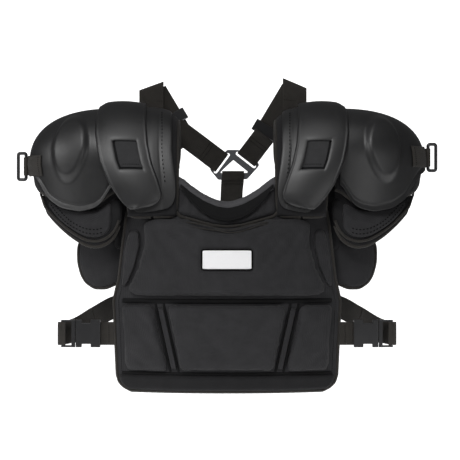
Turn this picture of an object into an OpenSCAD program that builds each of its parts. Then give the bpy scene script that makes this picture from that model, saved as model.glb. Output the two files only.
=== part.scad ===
/* [Chest] */
// Half width of the chest pad across the ribs
chest_half = 186; // [175:1:192]
// Height of the hem below the neck rim
hem_drop = 312; // [300:1:320]
// How far the sides of the chest curve back
chest_bow = 50; // [42:1:55]
// Distance of the chest pad's inner face in front of the neck
chest_front = 96; // [92:1:100]
// Thickness of the lining pad
lining_t = 9; // [7:0.5:9.5]
// Thickness of the stiff insert
insert_t = 1.6; // [1.2:0.1:1.8]
// Thickness of the backing pad
backing_t = 5; // [4:0.5:5.5]
// Thickness of the sewn front pads
panel_t = 12; // [8:0.5:14]

/* [Shoulder] */
// Forward reach of the shoulder arch
arch_reach = 88; // [84:1:92]
// Rise of the shoulder arch above its lower ends
arch_rise = 163; // [160:1:166]
// Thickness of the moulded plates
plate_t = 3; // [2:0.1:3.2]
// Half spread of left and right: the left shoulder hangs a little further out
side_spread = 8; // [0:1:8]

/* [Cap] */
// Sideways reach of the shoulder cap
cap_reach = 145; // [140:1:146]
// Depth of the cap from its middle to its front
cap_depth = 84; // [80:1:85]
// Height of the raised dome
dome_h = 7; // [4:0.5:8]

/* [Webbing] */
// Width of the webbing
web_w = 38; // [36:1:40]
// Thickness of the webbing
web_t = 2; // [1.5:0.1:2.2]

/* [Hidden] */
$fn = 32;
gap = 0.3;
left = -1;
right = 1;
fabric = [0.05, 0.05, 0.055];
plastic = [0.07, 0.07, 0.075];
webbing = [0.06, 0.055, 0.05];

function mix(a, b, t) = a + (b - a) * t;
function clamp01(t) = max(0, min(1, t));
function smooth(t) = let (c = clamp01(t)) c * c * (3 - 2 * c);

// A closed sheet: f(u, v, w) gives its point, with w = 0 on the inner face and 1 on the outer face.
module sheet(nu, nv, f) {
    m = (nu + 1) * (nv + 1);
    id = function (i, j, w) w * m + j * (nu + 1) + i;
    pts = [for (w = [0, 1]) for (j = [0 : nv]) for (i = [0 : nu]) f(i / nu, j / nv, w)];
    ci = floor(nu / 2);
    cj = floor(nv / 2);
    a = pts[id(ci, cj, 1)];
    across = pts[id(ci + 1, cj, 1)] - a;
    along = pts[id(ci, cj + 1, 1)] - a;
    facing_out = cross(across, along) * (a - pts[id(ci, cj, 0)]) > 0;
    quads = concat(
        [for (j = [0 : nv - 1]) for (i = [0 : nu - 1])
            [id(i, j, 1), id(i, j + 1, 1), id(i + 1, j + 1, 1), id(i + 1, j, 1)]],
        [for (j = [0 : nv - 1]) for (i = [0 : nu - 1])
            [id(i, j, 0), id(i + 1, j, 0), id(i + 1, j + 1, 0), id(i, j + 1, 0)]],
        [for (i = [0 : nu - 1]) [id(i, 0, 0), id(i, 0, 1), id(i + 1, 0, 1), id(i + 1, 0, 0)]],
        [for (i = [0 : nu - 1]) [id(i, nv, 1), id(i, nv, 0), id(i + 1, nv, 0), id(i + 1, nv, 1)]],
        [for (j = [0 : nv - 1]) [id(0, j, 1), id(0, j, 0), id(0, j + 1, 0), id(0, j + 1, 1)]],
        [for (j = [0 : nv - 1]) [id(nu, j, 0), id(nu, j, 1), id(nu, j + 1, 1), id(nu, j + 1, 0)]]);
    tris = [for (q = quads) each [[q[0], q[1], q[2]], [q[0], q[2], q[3]]]];
    polyhedron(pts, facing_out ? tris : [for (t = tris) [t[2], t[1], t[0]]], convexity = 8);
}

// Smooth curve through a list of points, t from 0 to 1.
function through(pts, t) =
    let (n = len(pts) - 1, s = min(t * n, n - 0.0001), i = floor(s), k = s - i,
         b = pts[i], c = pts[i + 1],
         a = i > 0 ? pts[i - 1] : 2 * b - c, d = i < n - 1 ? pts[i + 2] : 2 * c - b)
    0.5 * (2 * b + (c - a) * k + (2 * a - 5 * b + 4 * c - d) * k * k
        + (3 * b - a - 3 * c + d) * k * k * k);
function unit(p) = p / norm(p);
function heading(pts, t) = unit(through(pts, min(1, t + 0.01)) - through(pts, max(0, t - 0.01)));

// A flat strap along a path; across gives the direction of its width, which stays as given
// in a slanted strap and is squared to the path in any other.
module strap(path, across, width, thick, cells, low = 0, slanted = false) {
    sheet(1, cells, function (u, v, w)
        let (t = heading(path, v), a = slanted ? across : unit(across - (across * t) * t))
        through(path, v) + a * (u - 0.5) * width + unit(cross(t, a)) * (low + w * thick));
}

// ---- chest ----
hem_z = -hem_drop;
chest_edge = [[hem_z, 156], [hem_z + 8, 172], [hem_z + 25, 180], [-240, 182], [-162, chest_half],
    [-125, 177], [-80, 172], [-30, 166], [0, 160]];
neck_seam = [[0, -41], [21, -39], [54, -30], [76, -24], [180, -25]];
upper_edge = [[-153, 158], [-140, 161], [-106, 147], [-70, 138], [-30, 137], [0, 137]];
layer_gap = 0.7;
t_insert = lining_t + layer_gap;
t_backing = t_insert + insert_t + layer_gap;
t_panel = t_backing + backing_t + layer_gap;
t_face = t_panel + panel_t;
function chest_inner(x, z) =
    -(chest_front - 14 * pow(clamp01((z + 130) / 130), 2)) + chest_bow * pow(abs(x) / 180, 2.2);
function on_chest(x, z, t) = [x, chest_inner(x, z) - t, z];
function edge_at(z) = lookup(z, chest_edge);
function seam_at(x) = lookup(abs(x), neck_seam);

// A pad on the chest between heights z0 and z1 and between the side lines x0(z) and x1(z).
module chest_pad(nu, nv, z0, z1, x0, x1, t0, t1) {
    sheet(nu, nv, function (u, v, w)
        let (z = mix(z0, z1, v), x = mix(x0(z), x1(z), u)) on_chest(x, z, mix(t0, t1, w)));
}

// A pad on the chest that ends at the neck seam.
module seamed_pad(nu, nv, z0, half, t0, t1, drop) {
    sheet(nu, nv, function (u, v, w)
        let (s = 2 * u - 1, top = seam_at(s * 160) - drop, z = mix(z0, top, v), x = s * half(z))
        on_chest(x, z, mix(t0, t1, w)));
}
module chest_lining() {
    color(fabric) seamed_pad(16, 10, hem_z, function (z) edge_at(z), 0, lining_t, 0);
}
module chest_insert() {
    color("dimgray") seamed_pad(14, 8, hem_z + 34, function (z) edge_at(z) - 24,
        t_insert, t_insert + insert_t, 20);
}
module chest_backing() {
    color(fabric) seamed_pad(16, 10, hem_z, function (z) edge_at(z),
        t_backing, t_backing + backing_t, 0);
}
module upper_panel() {
    color(fabric) seamed_pad(16, 8, -154, function (z) lookup(z, upper_edge),
        t_panel, t_face, 2);
}
module lower_center_panel() {
    color(fabric) chest_pad(8, 5, -276, -169,
        function (z) -mix(77, 100, (z + 276) / 107), function (z) mix(77, 100, (z + 276) / 107),
        t_panel, t_face);
}
module lower_panel(side) {
    color(fabric) chest_pad(5, 5, -276, -169,
        function (z) side * mix(93, 118, (z + 276) / 107), function (z) side * 170,
        t_panel, t_face - 1);
}
module side_strip(side) {
    color(fabric) chest_pad(2, 6, -138, -46,
        function (z) side * (lookup(z, upper_edge) + 4), function (z) side * (edge_at(z) - 3),
        t_panel, t_panel + 6);
}
module bottom_band() {
    color(fabric) chest_pad(12, 2, hem_z + 2, -282,
        function (z) -edge_at(z) + 1, function (z) edge_at(z) - 1, t_panel, t_panel + 7);
}
module label_patch() {
    color("white") chest_pad(6, 2, -110, -78, function (z) -40.5, function (z) 40.5,
        t_face + 0.5, t_face + 1.5);
}

// ---- collar ----
rim_span = 78;
rim_rise = 41;
roll_r = 9;
rim_back = 10;
function rim_z(x) = rim_rise * pow(abs(x) / rim_span, 1.7);
function rim_y(x) = -92 + rim_back * pow(abs(x) / rim_span, 2);
module collar_front() {
    color(fabric) sheet(12, 3, function (u, v, w)
        let (x = mix(-76, 76, u), z = mix(seam_at(x) + 3, rim_z(x) - 2 * roll_r - 1, v))
        [x, mix(chest_inner(x, z) - 6, rim_y(x) + 4, v) - w * 12 * (1 - 0.25 * v), z]);
}
module collar_roll() {
    color(fabric) sheet(18, 4, function (u, v, w)
        let (x = mix(-rim_span, rim_span, u), a = 180 * v, r = roll_r * (w == 1 ? 1 : -1))
        [x, rim_y(x) - r * sin(a), rim_z(x) - roll_r + roll_r * cos(a)]);
}

// ---- shoulder arch: angle 0 is the front lower end, 90 the top, 150 the back ----
arch_foot = -20;
// The neck edge of the shoulder falls away near its top
function on_arch(x, angle, t) =
    [x, -(arch_reach + t) * cos(angle), arch_foot + (arch_rise + t) * sin(angle)
        - 13 * pow(clamp01((118 - abs(x)) / 37), 2) * pow(max(0, sin(angle)), 6)];
function angle_at(z) = asin(clamp01((z - arch_foot) / (arch_rise + 18)));
function spread(side) = side < 0 ? side_spread : -side_spread;
t_under = 12.4;
t_under_top = t_under + plate_t;
t_arch = 19;
module yoke_pad(side) {
    color(fabric) sheet(4, 16, function (u, v, w)
        on_arch(side * mix(81, 162, u), mix(0, 152, v), w * (t_under - 1.2)));
}
under_inner = [[-20, 79], [10, 80], [35, 83], [60, 87], [85, 90], [112, 90], [150, 92]];
module under_plate(side) {
    color(plastic) sheet(4, 14, function (u, v, w)
        let (angle = mix(0.5 + 4 * pow(1 - u, 2), 138, v),
             z = min(150, arch_foot + (arch_rise + t_under) * sin(angle)))
        on_arch(side * mix(lookup(z, under_inner), 150 + spread(side), u), angle,
            mix(t_under, t_under_top, w)));
}
arch_outer = [[-15, 148], [-11, 153], [-5, 160], [5, 168], [28, 183], [48, 192], [65, 199],
    [86, 204], [112, 208], [140, 208], [160, 206]];
arch_inner = [[-15, 146], [-10, 121], [-4, 106], [2, 99], [12, 97], [32, 103], [62, 114],
    [93, 121], [134, 125], [160, 126]];
arch_tip = -13;
function arch_x(side, z, u) = side * (mix(lookup(z, arch_inner), lookup(z, arch_outer), u)
    + spread(side));
arch_back = 120;
function arch_angle(v) = mix(angle_at(arch_tip), arch_back, v);
function on_arch_plate(side, u, v, w) =
    let (angle = arch_angle(v), z = min(160, arch_foot + (arch_rise + t_arch) * sin(angle)),
         taper = angle > 90 ? 10 * (angle - 90) / (arch_back - 90) : 0,
         crown = 5 * (1 - pow(2 * u - 1, 2)))
    on_arch(arch_x(side, z, u) - side * taper * (u - 0.5) * 2, angle,
        t_arch + crown + w * plate_t);
// Window in the arch plate: between these parts of its width and these angles
window_u = [0.22, 0.68];
window_v = [0.175, 0.32];
module arch_band(side, u0, u1, v0, v1, nu, nv) {
    sheet(nu, nv, function (u, v, w) on_arch_plate(side, mix(u0, u1, u), mix(v0, v1, v), w));
}
module arch_plate(side) {
    color(plastic) difference() {
        arch_band(side, 0, 1, 0, 1, 8, 24);
        window_cut(side);
    }
}
module window_cut(side) {
    sheet(2, 2, function (u, v, w)
        let (au = mix(window_u[0], window_u[1], u), av = mix(window_v[0], window_v[1], v),
             p = on_arch_plate(side, au, av, 0))
        [p[0], p[1] + mix(8, -20, w), p[2]]);
}
module arch_strap(side) {
    color(webbing) sheet(3, 4, function (u, v, w)
        let (au = mix(window_u[0] - 0.04, window_u[1] + 0.02, u),
             av = mix(window_v[0] + 0.02, window_v[1] + 0.08, v))
        on_arch_plate(side, au, av, 0) + [0, mix(2.6, 0.6, w), 0]);
}

// ---- shoulder cap: turn 0 faces forward, 90 outward ----
cap_x = 185;
cap_z = 62;
cap_top = 95;
cap_taper = 0.16;
shell_foot = [[0, 30], [3.7, 19], [6.2, 4], [12.8, -10], [24.6, -16], [40, -10], [52.8, 6],
    [60.8, 30], [70, 46], [90, 56], [120, 60], [150, 70]];
pad_foot = [[-6, 22], [0, 18], [12, -2], [40, -2], [60, 12], [72, 18], [90, 30], [120, 42],
    [160, 50]];
arm_foot = [[-6, -37], [-3, -53], [4.5, -68], [13, -74], [22, -72], [29, -65], [38, -54],
    [49, -38], [61, -20], [72, -3], [84, 10]];
dome_x = 256;
dome_z = 85;
function dome(x, z) = smooth(1 - (norm([(x - dome_x) / 31, (z - dome_z) / 57]) - 0.72) / 0.28);
// Point of the cap surface at a turn and a height: below cap_z it is a tapering barrel,
// above it a rounded dome whose rise runs from 0 to 90 degrees.
function cap_point(side, turn, z, rise, t) =
    let (upper = rise > 0, k = upper ? pow(cos(rise), 0.833) : 1,
         ky = upper ? pow(cos(rise), 1.15) : 1,
         rx = upper ? cap_reach + t : cap_reach + t - cap_taper * (cap_z - z),
         zz = upper ? cap_z + (cap_top + t) * pow(sin(rise), 0.833) : z)
    [side * (cap_x + rx * k * sin(turn)), -(cap_depth + t) * ky * cos(turn), zz];
// A shell on the cap from its foot line up to a rise, between two offsets.
module cap_layer(side, turn0, turn1, foot, rise1, t0, t1, nu, nv, with_dome = false) {
    low_cells = floor(nv / 3);
    split = low_cells / nv;
    sheet(nu, nv, function (u, v, w)
        let (turn = mix(turn0, turn1, u), z = mix(lookup(turn, foot), cap_z, min(1, v / split)),
             rise = v > split ? rise1 * (v - split) / (1 - split) : 0,
             t = mix(t0, t1, w), p = cap_point(side, turn, z, rise, t),
             lift = with_dome && turn < 100 ? dome_h * dome(abs(p[0]), p[2]) : 0)
        cap_point(side, turn, z, rise, t + lift));
}
module cap_shell(side) {
    color(plastic) cap_layer(side, 0, 148, shell_foot, 85, -3, 0, 20, 15, true);
}
module cap_pad(side) {
    color(fabric) cap_layer(side, -4, 158, pad_foot, 76, -14, -3.6, 16, 10);
}
tab_z = [60, 75];
function loop_height(side) = side < 0 ? tab_z[0] : tab_z[1];
loop_x = 335.5;
bar_d = 4.6;
loop_out = 13;
loop_half = 22;
module cap_tab(side) {
    color(webbing) translate([side * loop_x, 0, loop_height(side)]) difference() {
        union() {
            cylinder(h = 30, d = bar_d + 3.6, center = true);
            translate([side * -3.5, 0, 0]) cube([2.6, 4, 30], center = true);
        }
        cylinder(h = 40, d = bar_d + 0.6, center = true);
    }
}
module arm_loop(side) {
    color(plastic) translate([side * loop_x, 0, loop_height(side)]) {
        for (x = [0, loop_out]) translate([side * x, 0, 0])
            cylinder(h = 2 * loop_half, d = bar_d, center = true);
        for (z = [-loop_half, loop_half]) translate([side * loop_out / 2, 0, z])
            rotate([0, 90, 0]) cylinder(h = loop_out, d = bar_d, center = true);
        for (x = [0, loop_out]) for (z = [-loop_half, loop_half])
            translate([side * x, 0, z]) sphere(d = bar_d);
    }
}

// ---- upper arm pad, hanging below the cap pad ----
arm_gap = 7;
function arm_top(turn) = lookup(turn, pad_foot) - arm_gap;
function arm_flare(turn, z) = -17 + 12 * clamp01((arm_top(turn) - z) / 24);
module arm_pad(side) {
    color(fabric) sheet(12, 6, function (u, v, w)
        let (turn = mix(-6, 82, u), z = mix(lookup(turn, arm_foot), arm_top(turn), v))
        cap_point(side, turn, z, 0, arm_flare(turn, z) - 10 * (1 - w)));
}
module arm_panel(side) {
    color(fabric) sheet(8, 3, function (u, v, w)
        let (turn = mix(5, 60, u), z = mix(lookup(turn, arm_foot) + 12, arm_top(turn) - 14, v))
        cap_point(side, turn, z, 0, arm_flare(turn, z) + 1.8 + 3 * w));
}

// ---- rib wing ----
wing_edge = [[-142, 222], [-136, 233], [-120, 241], [-100, 246], [-60, 247]];
wing_inner = [[-142, 198], [-136, 180], [-120, 168], [-60, 168]];
wing_y = -42;
module wing_pad(side) {
    color(fabric) sheet(6, 8, function (u, v, w)
        let (z = mix(-142, -60, v), x = mix(lookup(z, wing_inner), lookup(z, wing_edge), u))
        [side * x, wing_y + 12 * (1 - w) + 10 * pow(u, 2), z]);
}

// ---- waist belt ----
belt_z = -216;
belt_y = -57;
socket_x = 208;
socket_l = 40;
socket_h = 45;
socket_t = 14;
clip_bar_x = 268;
module belt_stub(side) {
    color(webbing) strap([[side * 186, belt_y - 1, belt_z], [side * 197, belt_y, belt_z],
        [side * socket_x, belt_y, belt_z]], [0, 0, 1], web_w, web_t, 3, -web_t / 2);
}
module buckle_socket(side) {
    color(plastic) translate([side * (socket_x + gap + socket_l / 2), belt_y, belt_z])
        difference() {
            cube([socket_l, socket_t, socket_h], center = true);
            translate([side * 5, 0, 0]) cube([socket_l, 7, socket_h - 9], center = true);
            for (z = [-1, 1]) translate([side * 3, 0, z * socket_h / 2])
                cube([15, socket_t + 2, 11], center = true);
        }
}
module buckle_clip(side) {
    prong_l = 30;
    root_x = socket_x + socket_l + 1.5;
    color(plastic) {
        for (z = [-12, 0, 12]) translate([side * (root_x - prong_l / 2 + 2), belt_y, belt_z + z])
            cube([prong_l, 5, z == 0 ? 8 : 6], center = true);
        translate([side * (root_x + 3), belt_y, belt_z]) cube([6, 11, socket_h], center = true);
        for (z = [-1, 1]) translate([side * (root_x + 13), belt_y, belt_z + z * (socket_h / 2 - 1.6)])
            cube([20, 8, 3], center = true);
        translate([side * clip_bar_x, belt_y, belt_z])
            cylinder(h = socket_h - 4, d = 5, center = true);
    }
}
fold_r = 4;
fold_end = 272;
module belt_fold(side) {
    path = [for (a = [-100 : 20 : 90])
        [side * (clip_bar_x + 5 + fold_r * 1.4 * cos(a)), belt_y + 2 + fold_r * 1.4 * sin(a), belt_z]];
    color(webbing) strap(concat([[side * (clip_bar_x - 3), belt_y - fold_r - 1.5, belt_z]], path,
        [[side * (fold_end - 4), belt_y + 9, belt_z]]), [0, 0, 1], web_w, web_t, 16, -web_t / 2);
}
belt_route = [[258, -43, -214], [244, -34, -207], [222, -10, -193], [190, 30, -176],
    [140, 72, -164], [70, 98, -158], [0, 104, -157]];
module back_belt() {
    mirrored = [for (k = [len(belt_route) - 2 : -1 : 0])
        [-belt_route[k][0], belt_route[k][1], belt_route[k][2]]];
    color(webbing) strap(concat(belt_route, mirrored), [0, 0, 1], web_w, web_t, 36);
}

// ---- harness ----
tab_at = [[-128.7, 198.2], [114.9, 203]];
tab_lean = [0.362, -0.426];
module harness_tab(side) {
    k = side < 0 ? 0 : 1;
    x = tab_at[k][0];
    z = tab_at[k][1];
    route = [[x, 69, 122], [x, 66, z - 40], [x, 63.8, z - 14], [x, 63.8, z - 5], [x, 65, z - 1.2],
        [x, 67.6, z], [x, 70, z - 1.2], [x, 71.3, z - 5], [x, 71.4, z - 11]];
    color(webbing) strap(route, unit([1, 0, tab_lean[k]]), web_w + 6, web_t, 32, -web_t / 2, true);
}
// Shoulder straps run straight from the fold of their tab to the slider; the left one ends in a free tail.
strap_start = [[-121, 67.6, 190], [110, 67.6, 193]];
strap_aim = [[-80, 78.6, 121.3], [62, 82.5, 113]];
function strap_dir(side) = let (k = side < 0 ? 0 : 1) unit(strap_aim[k] - strap_start[k]);
function strap_side(side) = unit(cross(strap_dir(side), [0, 1, 0]));
module shoulder_strap(side) {
    k = side < 0 ? 0 : 1;
    head = [strap_start[k], mix(strap_start[k], strap_aim[k], 0.5), strap_aim[k]];
    color(webbing) strap(side < 0 ? concat(head, [[-66.5, 93, 100.5]]) : head, strap_side(side),
        web_w, web_t, 12, -web_t / 2);
}
// Local frame of a strap: X across it, Y through it, Z along it.
module along_strap(side, part) {
    k = side < 0 ? 0 : 1;
    d = strap_dir(side);
    a = strap_side(side);
    n = cross(d, a);
    p = mix(strap_start[k], strap_aim[k], part);
    multmatrix([[a[0], n[0], d[0], p[0]], [a[1], n[1], d[1], p[1]], [a[2], n[2], d[2], p[2]],
        [0, 0, 0, 1]]) children();
}
slider_w = 50;
slider_l = 20;
slider_t = 8;
slider_part = [0.7, 0.88];
module strap_slider(side) {
    color(plastic) along_strap(side, slider_part[side < 0 ? 0 : 1]) difference() {
        cube([slider_w, slider_t, slider_l], center = true);
        cube([web_w + 2, web_t + 2.4, slider_l + 2], center = true);
        for (z = [-1, 1]) translate([0, -slider_t / 2, z * 4.5])
            cube([web_w + 2, slider_t, 5], center = true);
    }
}
// Ring straps: from the slider over the outer bar of the ring, through its slot and back behind.
ring_y = 100;
ring_t = 4;
slot_at = [[-9.1, 68.6], [32.1, 74.2]];
slot_r = 3.2;
slot_half = 17.7;
ring_head = [[-84, 74, 124], [61, 78.3, 111.5]];
ring_mid = [[-50, 80.5], [48.5, 85.5]];
function ring_dir(k) = unit([slot_at[k][0] - ring_head[k][0], slot_at[k][1] - ring_head[k][2]]);
module ring_strap(side) {
    k = side < 0 ? 0 : 1;
    d = ring_dir(k);
    turn = [[13, -4.6], [4.4, -3.8], [1.7, -2.6], [0.9, 0], [1.7, 2.6], [4.4, 3.8], [14, 4.2], [26, 3.8]];
    m = (ring_mid[k][0] - ring_head[k][0]) / d[0];
    route = concat([ring_head[k], [ring_mid[k][0], ring_mid[k][1], ring_head[k][2] + d[1] * m]], [for (t = turn)
        [slot_at[k][0] - d[0] * t[0], ring_y + t[1], slot_at[k][1] - d[1] * t[0]]]);
    color(webbing) strap(route, unit([-d[1], 0, d[0]]), web_w, web_t, 32, -web_t / 2);
}
module ring() {
    color("dimgray") translate([0, ring_y, 0]) rotate([90, 0, 0]) difference() {
        linear_extrude(ring_t, center = true) hull()
            for (p = [[2, 86.5], [18, 86.5], [49.5, 65.5], [32, 46], [-13, 45], [-24, 58.5]])
                translate(p) circle(r = 5);
        linear_extrude(ring_t + 2, center = true) hull()
            for (p = [[10.6, 72], [-9.6, 53], [33.5, 53.6]]) translate(p) circle(r = 1.5);
        for (k = [0, 1]) linear_extrude(ring_t + 2, center = true) hull()
            for (s = [-slot_half, slot_half])
                translate(slot_at[k] + [-ring_dir(k)[1], ring_dir(k)[0]] * s) circle(r = slot_r);
    }
}
// Back strap: wraps over the bottom bar of the ring and runs down to the back belt.
module back_strap() {
    color(webbing) strap([[8, 104.6, 24], [9, 104.2, 40], [10, 103.8, 48], [10.4, 102.6, 52.8],
        [10.4, 100, 54], [10.4, 97.4, 52.8], [10.4, 96.2, 48], [9.5, 96.6, 36], [8, 99.4, 22],
        [7, 106, -4], [6, 110, -30], [5, 112, -90], [5, 111, -138], [5, 111, -172]],
        [1, 0, 0], web_w, web_t, 56, -web_t / 2);
}

chest_lining();
chest_insert();
chest_backing();
upper_panel();
lower_center_panel();
lower_panel(left);  // lower_panel_L
lower_panel(right);  // lower_panel_R
side_strip(left);  // side_strip_L
side_strip(right);  // side_strip_R
bottom_band();
collar_front();
collar_roll();
label_patch();
yoke_pad(left);  // yoke_pad_L
yoke_pad(right);  // yoke_pad_R
under_plate(left);  // under_plate_L
under_plate(right);  // under_plate_R
harness_tab(left);  // harness_tab_L
harness_tab(right);  // harness_tab_R
shoulder_strap(left);  // shoulder_strap_L
shoulder_strap(right);  // shoulder_strap_R
strap_slider(left);  // strap_slider_L
strap_slider(right);  // strap_slider_R
ring_strap(left);  // ring_strap_L
ring_strap(right);  // ring_strap_R
ring();
back_strap();
back_belt();
belt_stub(left);  // belt_stub_L
belt_stub(right);  // belt_stub_R
buckle_socket(left);  // buckle_socket_L
buckle_socket(right);  // buckle_socket_R
buckle_clip(left);  // buckle_clip_L
buckle_clip(right);  // buckle_clip_R
belt_fold(left);  // belt_fold_L
belt_fold(right);  // belt_fold_R
arch_plate(left);  // arch_plate_L
arch_plate(right);  // arch_plate_R
arch_strap(left);  // arch_strap_L
arch_strap(right);  // arch_strap_R
cap_shell(left);  // cap_shell_L
cap_shell(right);  // cap_shell_R
cap_pad(left);  // cap_pad_L
cap_pad(right);  // cap_pad_R
cap_tab(left);  // cap_tab_L
cap_tab(right);  // cap_tab_R
arm_pad(left);  // arm_pad_L
arm_pad(right);  // arm_pad_R
arm_panel(left);  // arm_panel_L
arm_panel(right);  // arm_panel_R
arm_loop(left);  // arm_loop_L
arm_loop(right);  // arm_loop_R
wing_pad(left);  // wing_pad_L
wing_pad(right);  // wing_pad_R
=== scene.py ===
import bmesh
import bpy
import numpy as np
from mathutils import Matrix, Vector


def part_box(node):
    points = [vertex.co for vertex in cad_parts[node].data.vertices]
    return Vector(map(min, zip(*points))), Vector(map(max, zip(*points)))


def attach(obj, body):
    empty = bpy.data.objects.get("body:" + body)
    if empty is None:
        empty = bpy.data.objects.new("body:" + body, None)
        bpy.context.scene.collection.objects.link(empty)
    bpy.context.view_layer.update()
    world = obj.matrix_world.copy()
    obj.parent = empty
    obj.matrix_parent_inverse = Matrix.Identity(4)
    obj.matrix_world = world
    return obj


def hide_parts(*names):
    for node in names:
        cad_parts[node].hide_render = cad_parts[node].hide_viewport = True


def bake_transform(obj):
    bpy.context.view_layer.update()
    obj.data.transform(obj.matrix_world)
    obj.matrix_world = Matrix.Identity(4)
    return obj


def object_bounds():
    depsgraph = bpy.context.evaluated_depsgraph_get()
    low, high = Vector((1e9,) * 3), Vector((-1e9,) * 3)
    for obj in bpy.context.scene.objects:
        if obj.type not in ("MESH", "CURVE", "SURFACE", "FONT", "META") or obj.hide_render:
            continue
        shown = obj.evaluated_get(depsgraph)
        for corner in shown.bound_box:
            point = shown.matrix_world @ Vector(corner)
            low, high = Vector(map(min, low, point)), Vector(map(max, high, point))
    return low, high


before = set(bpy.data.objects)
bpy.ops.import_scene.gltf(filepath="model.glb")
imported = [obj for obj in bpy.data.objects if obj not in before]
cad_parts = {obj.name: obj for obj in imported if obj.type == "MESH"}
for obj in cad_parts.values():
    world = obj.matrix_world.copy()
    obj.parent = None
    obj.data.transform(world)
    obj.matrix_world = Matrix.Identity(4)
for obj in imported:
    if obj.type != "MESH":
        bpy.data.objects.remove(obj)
CAD_BOX = [list(map(float, corner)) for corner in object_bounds()]

bl_info = {
    "name": "Shoulder protector",
    "version": (1, 0, 0),
    "blender": (4, 5, 0),
    "location": "3D view > Sidebar > Protector",
    "description": "Builds the pads, shells, webbing and hardware of a chest and shoulder protector",
    "category": "Object",
}

MM = 0.001
SIDES = (("L", -1), ("R", 1))

# ---------------------------------------------------------------- places from the frame, in millimetres


def node_low(node):
    """Lowest corner of a CAD node in millimetres."""
    return np.array(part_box(node)[0]) / MM


def node_high(node):
    """Highest corner of a CAD node in millimetres."""
    return np.array(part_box(node)[1]) / MM


HEM_BASE = node_low("chest_backing")[2]
CHEST_HALF = node_high("chest_backing")[0]
LABEL_LOW, LABEL_HIGH = node_low("label_patch"), node_high("label_patch")
CHEST_FRONT = -node_low("chest_lining")[1] - 9.0
BELT_Z = float((node_low("belt_stub_R")[2] + node_high("belt_stub_R")[2]) / 2)

# ---------------------------------------------------------------- small maths


def mix(a, b, t):
    """Straight blend from a to b."""
    return a + (b - a) * t


def smooth(t):
    """Smooth step: 3t^2 - 2t^3 between 0 and 1."""
    t = np.clip(t, 0, 1)
    return t * t * (3 - 2 * t)


def table(x, rows):
    """Straight lines between rows of (x, value)."""
    rows = np.array(rows, float)
    return np.interp(x, rows[:, 0], rows[:, 1])


def soft_table(x, rows, width=3.0):
    """Table with its corners rounded by averaging over a small width."""
    offsets = np.linspace(-width, width, 7)
    return sum(table(x + o, rows) for o in offsets) / len(offsets)


def through(points, t):
    """Catmull-Rom curve through the points; t from 0 to 1."""
    p = np.array(points, float)
    n = len(p) - 1
    s = np.clip(np.asarray(t) * n, 0, n - 1e-6)
    i = s.astype(int)
    k = (s - i)[..., None]
    q = np.vstack([2 * p[0] - p[1], p, 2 * p[-1] - p[-2]])
    a, b, c, d = q[i], q[i + 1], q[i + 2], q[i + 3]
    return 0.5 * (2 * b + (c - a) * k + (2 * a - 5 * b + 4 * c - d) * k**2 + (3 * b - a - 3 * c + d) * k**3)


def unit(v):
    """Vectors of length one."""
    return v / np.maximum(np.linalg.norm(v, axis=-1, keepdims=True), 1e-12)


def squares(nu, nv, crowd=0.75):
    """Grid of u and v from 0 to 1, with lines drawn closer near the borders: t - crowd*sin(2 pi t)/(2 pi)."""
    def line(n):
        t = np.linspace(0, 1, n + 1)
        return t - crowd * np.sin(2 * np.pi * t) / (2 * np.pi)
    return np.meshgrid(line(nu), line(nv))


def rounded(u, v, power):
    """Turns the square grid's corners: points move towards the middle onto |s|^p + |t|^p = q^p."""
    s, t = 2 * u - 1, 2 * v - 1
    q = np.maximum(np.abs(s), np.abs(t))
    k = q / np.maximum((np.abs(s) ** power + np.abs(t) ** power) ** (1 / power), 1e-9)
    return (s * k + 1) / 2, (t * k + 1) / 2


def swell(u, v, width, height, radius):
    """Thickness from 0 at the border to 1: a quarter circle of this radius on every side."""
    du = np.minimum(u, 1 - u) * width / radius
    dv = np.minimum(v, 1 - v) * height / radius
    def quarter(d):
        return np.sqrt(np.clip(1 - (1 - np.clip(d, 0, 1)) ** 2, 0, 1))
    return quarter(du) * quarter(dv)


# ---------------------------------------------------------------- meshes


def mesh_object(name, points, faces, uv=None, smooth_shade=True):
    """Object at the origin from points in millimetres and faces as lists of point numbers."""
    mesh = bpy.data.meshes.new(name)
    mesh.from_pydata((np.asarray(points) * MM).tolist(), [], [list(map(int, f)) for f in faces])
    mesh.polygons.foreach_set("use_smooth", np.full(len(mesh.polygons), smooth_shade))
    if uv is not None:
        layer = mesh.uv_layers.new(name="cloth")
        corner = np.empty(len(mesh.loops), int)
        mesh.loops.foreach_get("vertex_index", corner)
        layer.data.foreach_set("uv", (np.asarray(uv)[corner] * MM).ravel())
    mesh.update()
    obj = bpy.data.objects.new(name, mesh)
    bpy.context.scene.collection.objects.link(obj)
    return obj


def grid_numbers(rows, cols):
    """Point numbers of a rows x cols grid."""
    return np.arange(rows * cols).reshape(rows, cols)


def quads(ids):
    """Quads of a grid of point numbers."""
    return np.stack([ids[:-1, :-1], ids[:-1, 1:], ids[1:, 1:], ids[1:, :-1]], -1)


def facing_out(outer, inner):
    """Does the grid's own turning direction agree with the way from inner to outer?"""
    r, c = outer.shape[0] // 2, outer.shape[1] // 2
    across, along = outer[r, c + 1] - outer[r, c], outer[r + 1, c] - outer[r, c]
    return np.dot(np.cross(across, along), outer[r, c] - inner[r, c]) > 0


def real_size(outer, u, v):
    """Millimetre coordinates on the grid, from the length of its middle row and column."""
    r, c = outer.shape[0] // 2, outer.shape[1] // 2
    width = np.linalg.norm(np.diff(outer[r], axis=0), axis=1).sum()
    height = np.linalg.norm(np.diff(outer[:, c], axis=0), axis=1).sum()
    return np.stack([u * width, v * height], -1)


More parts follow.
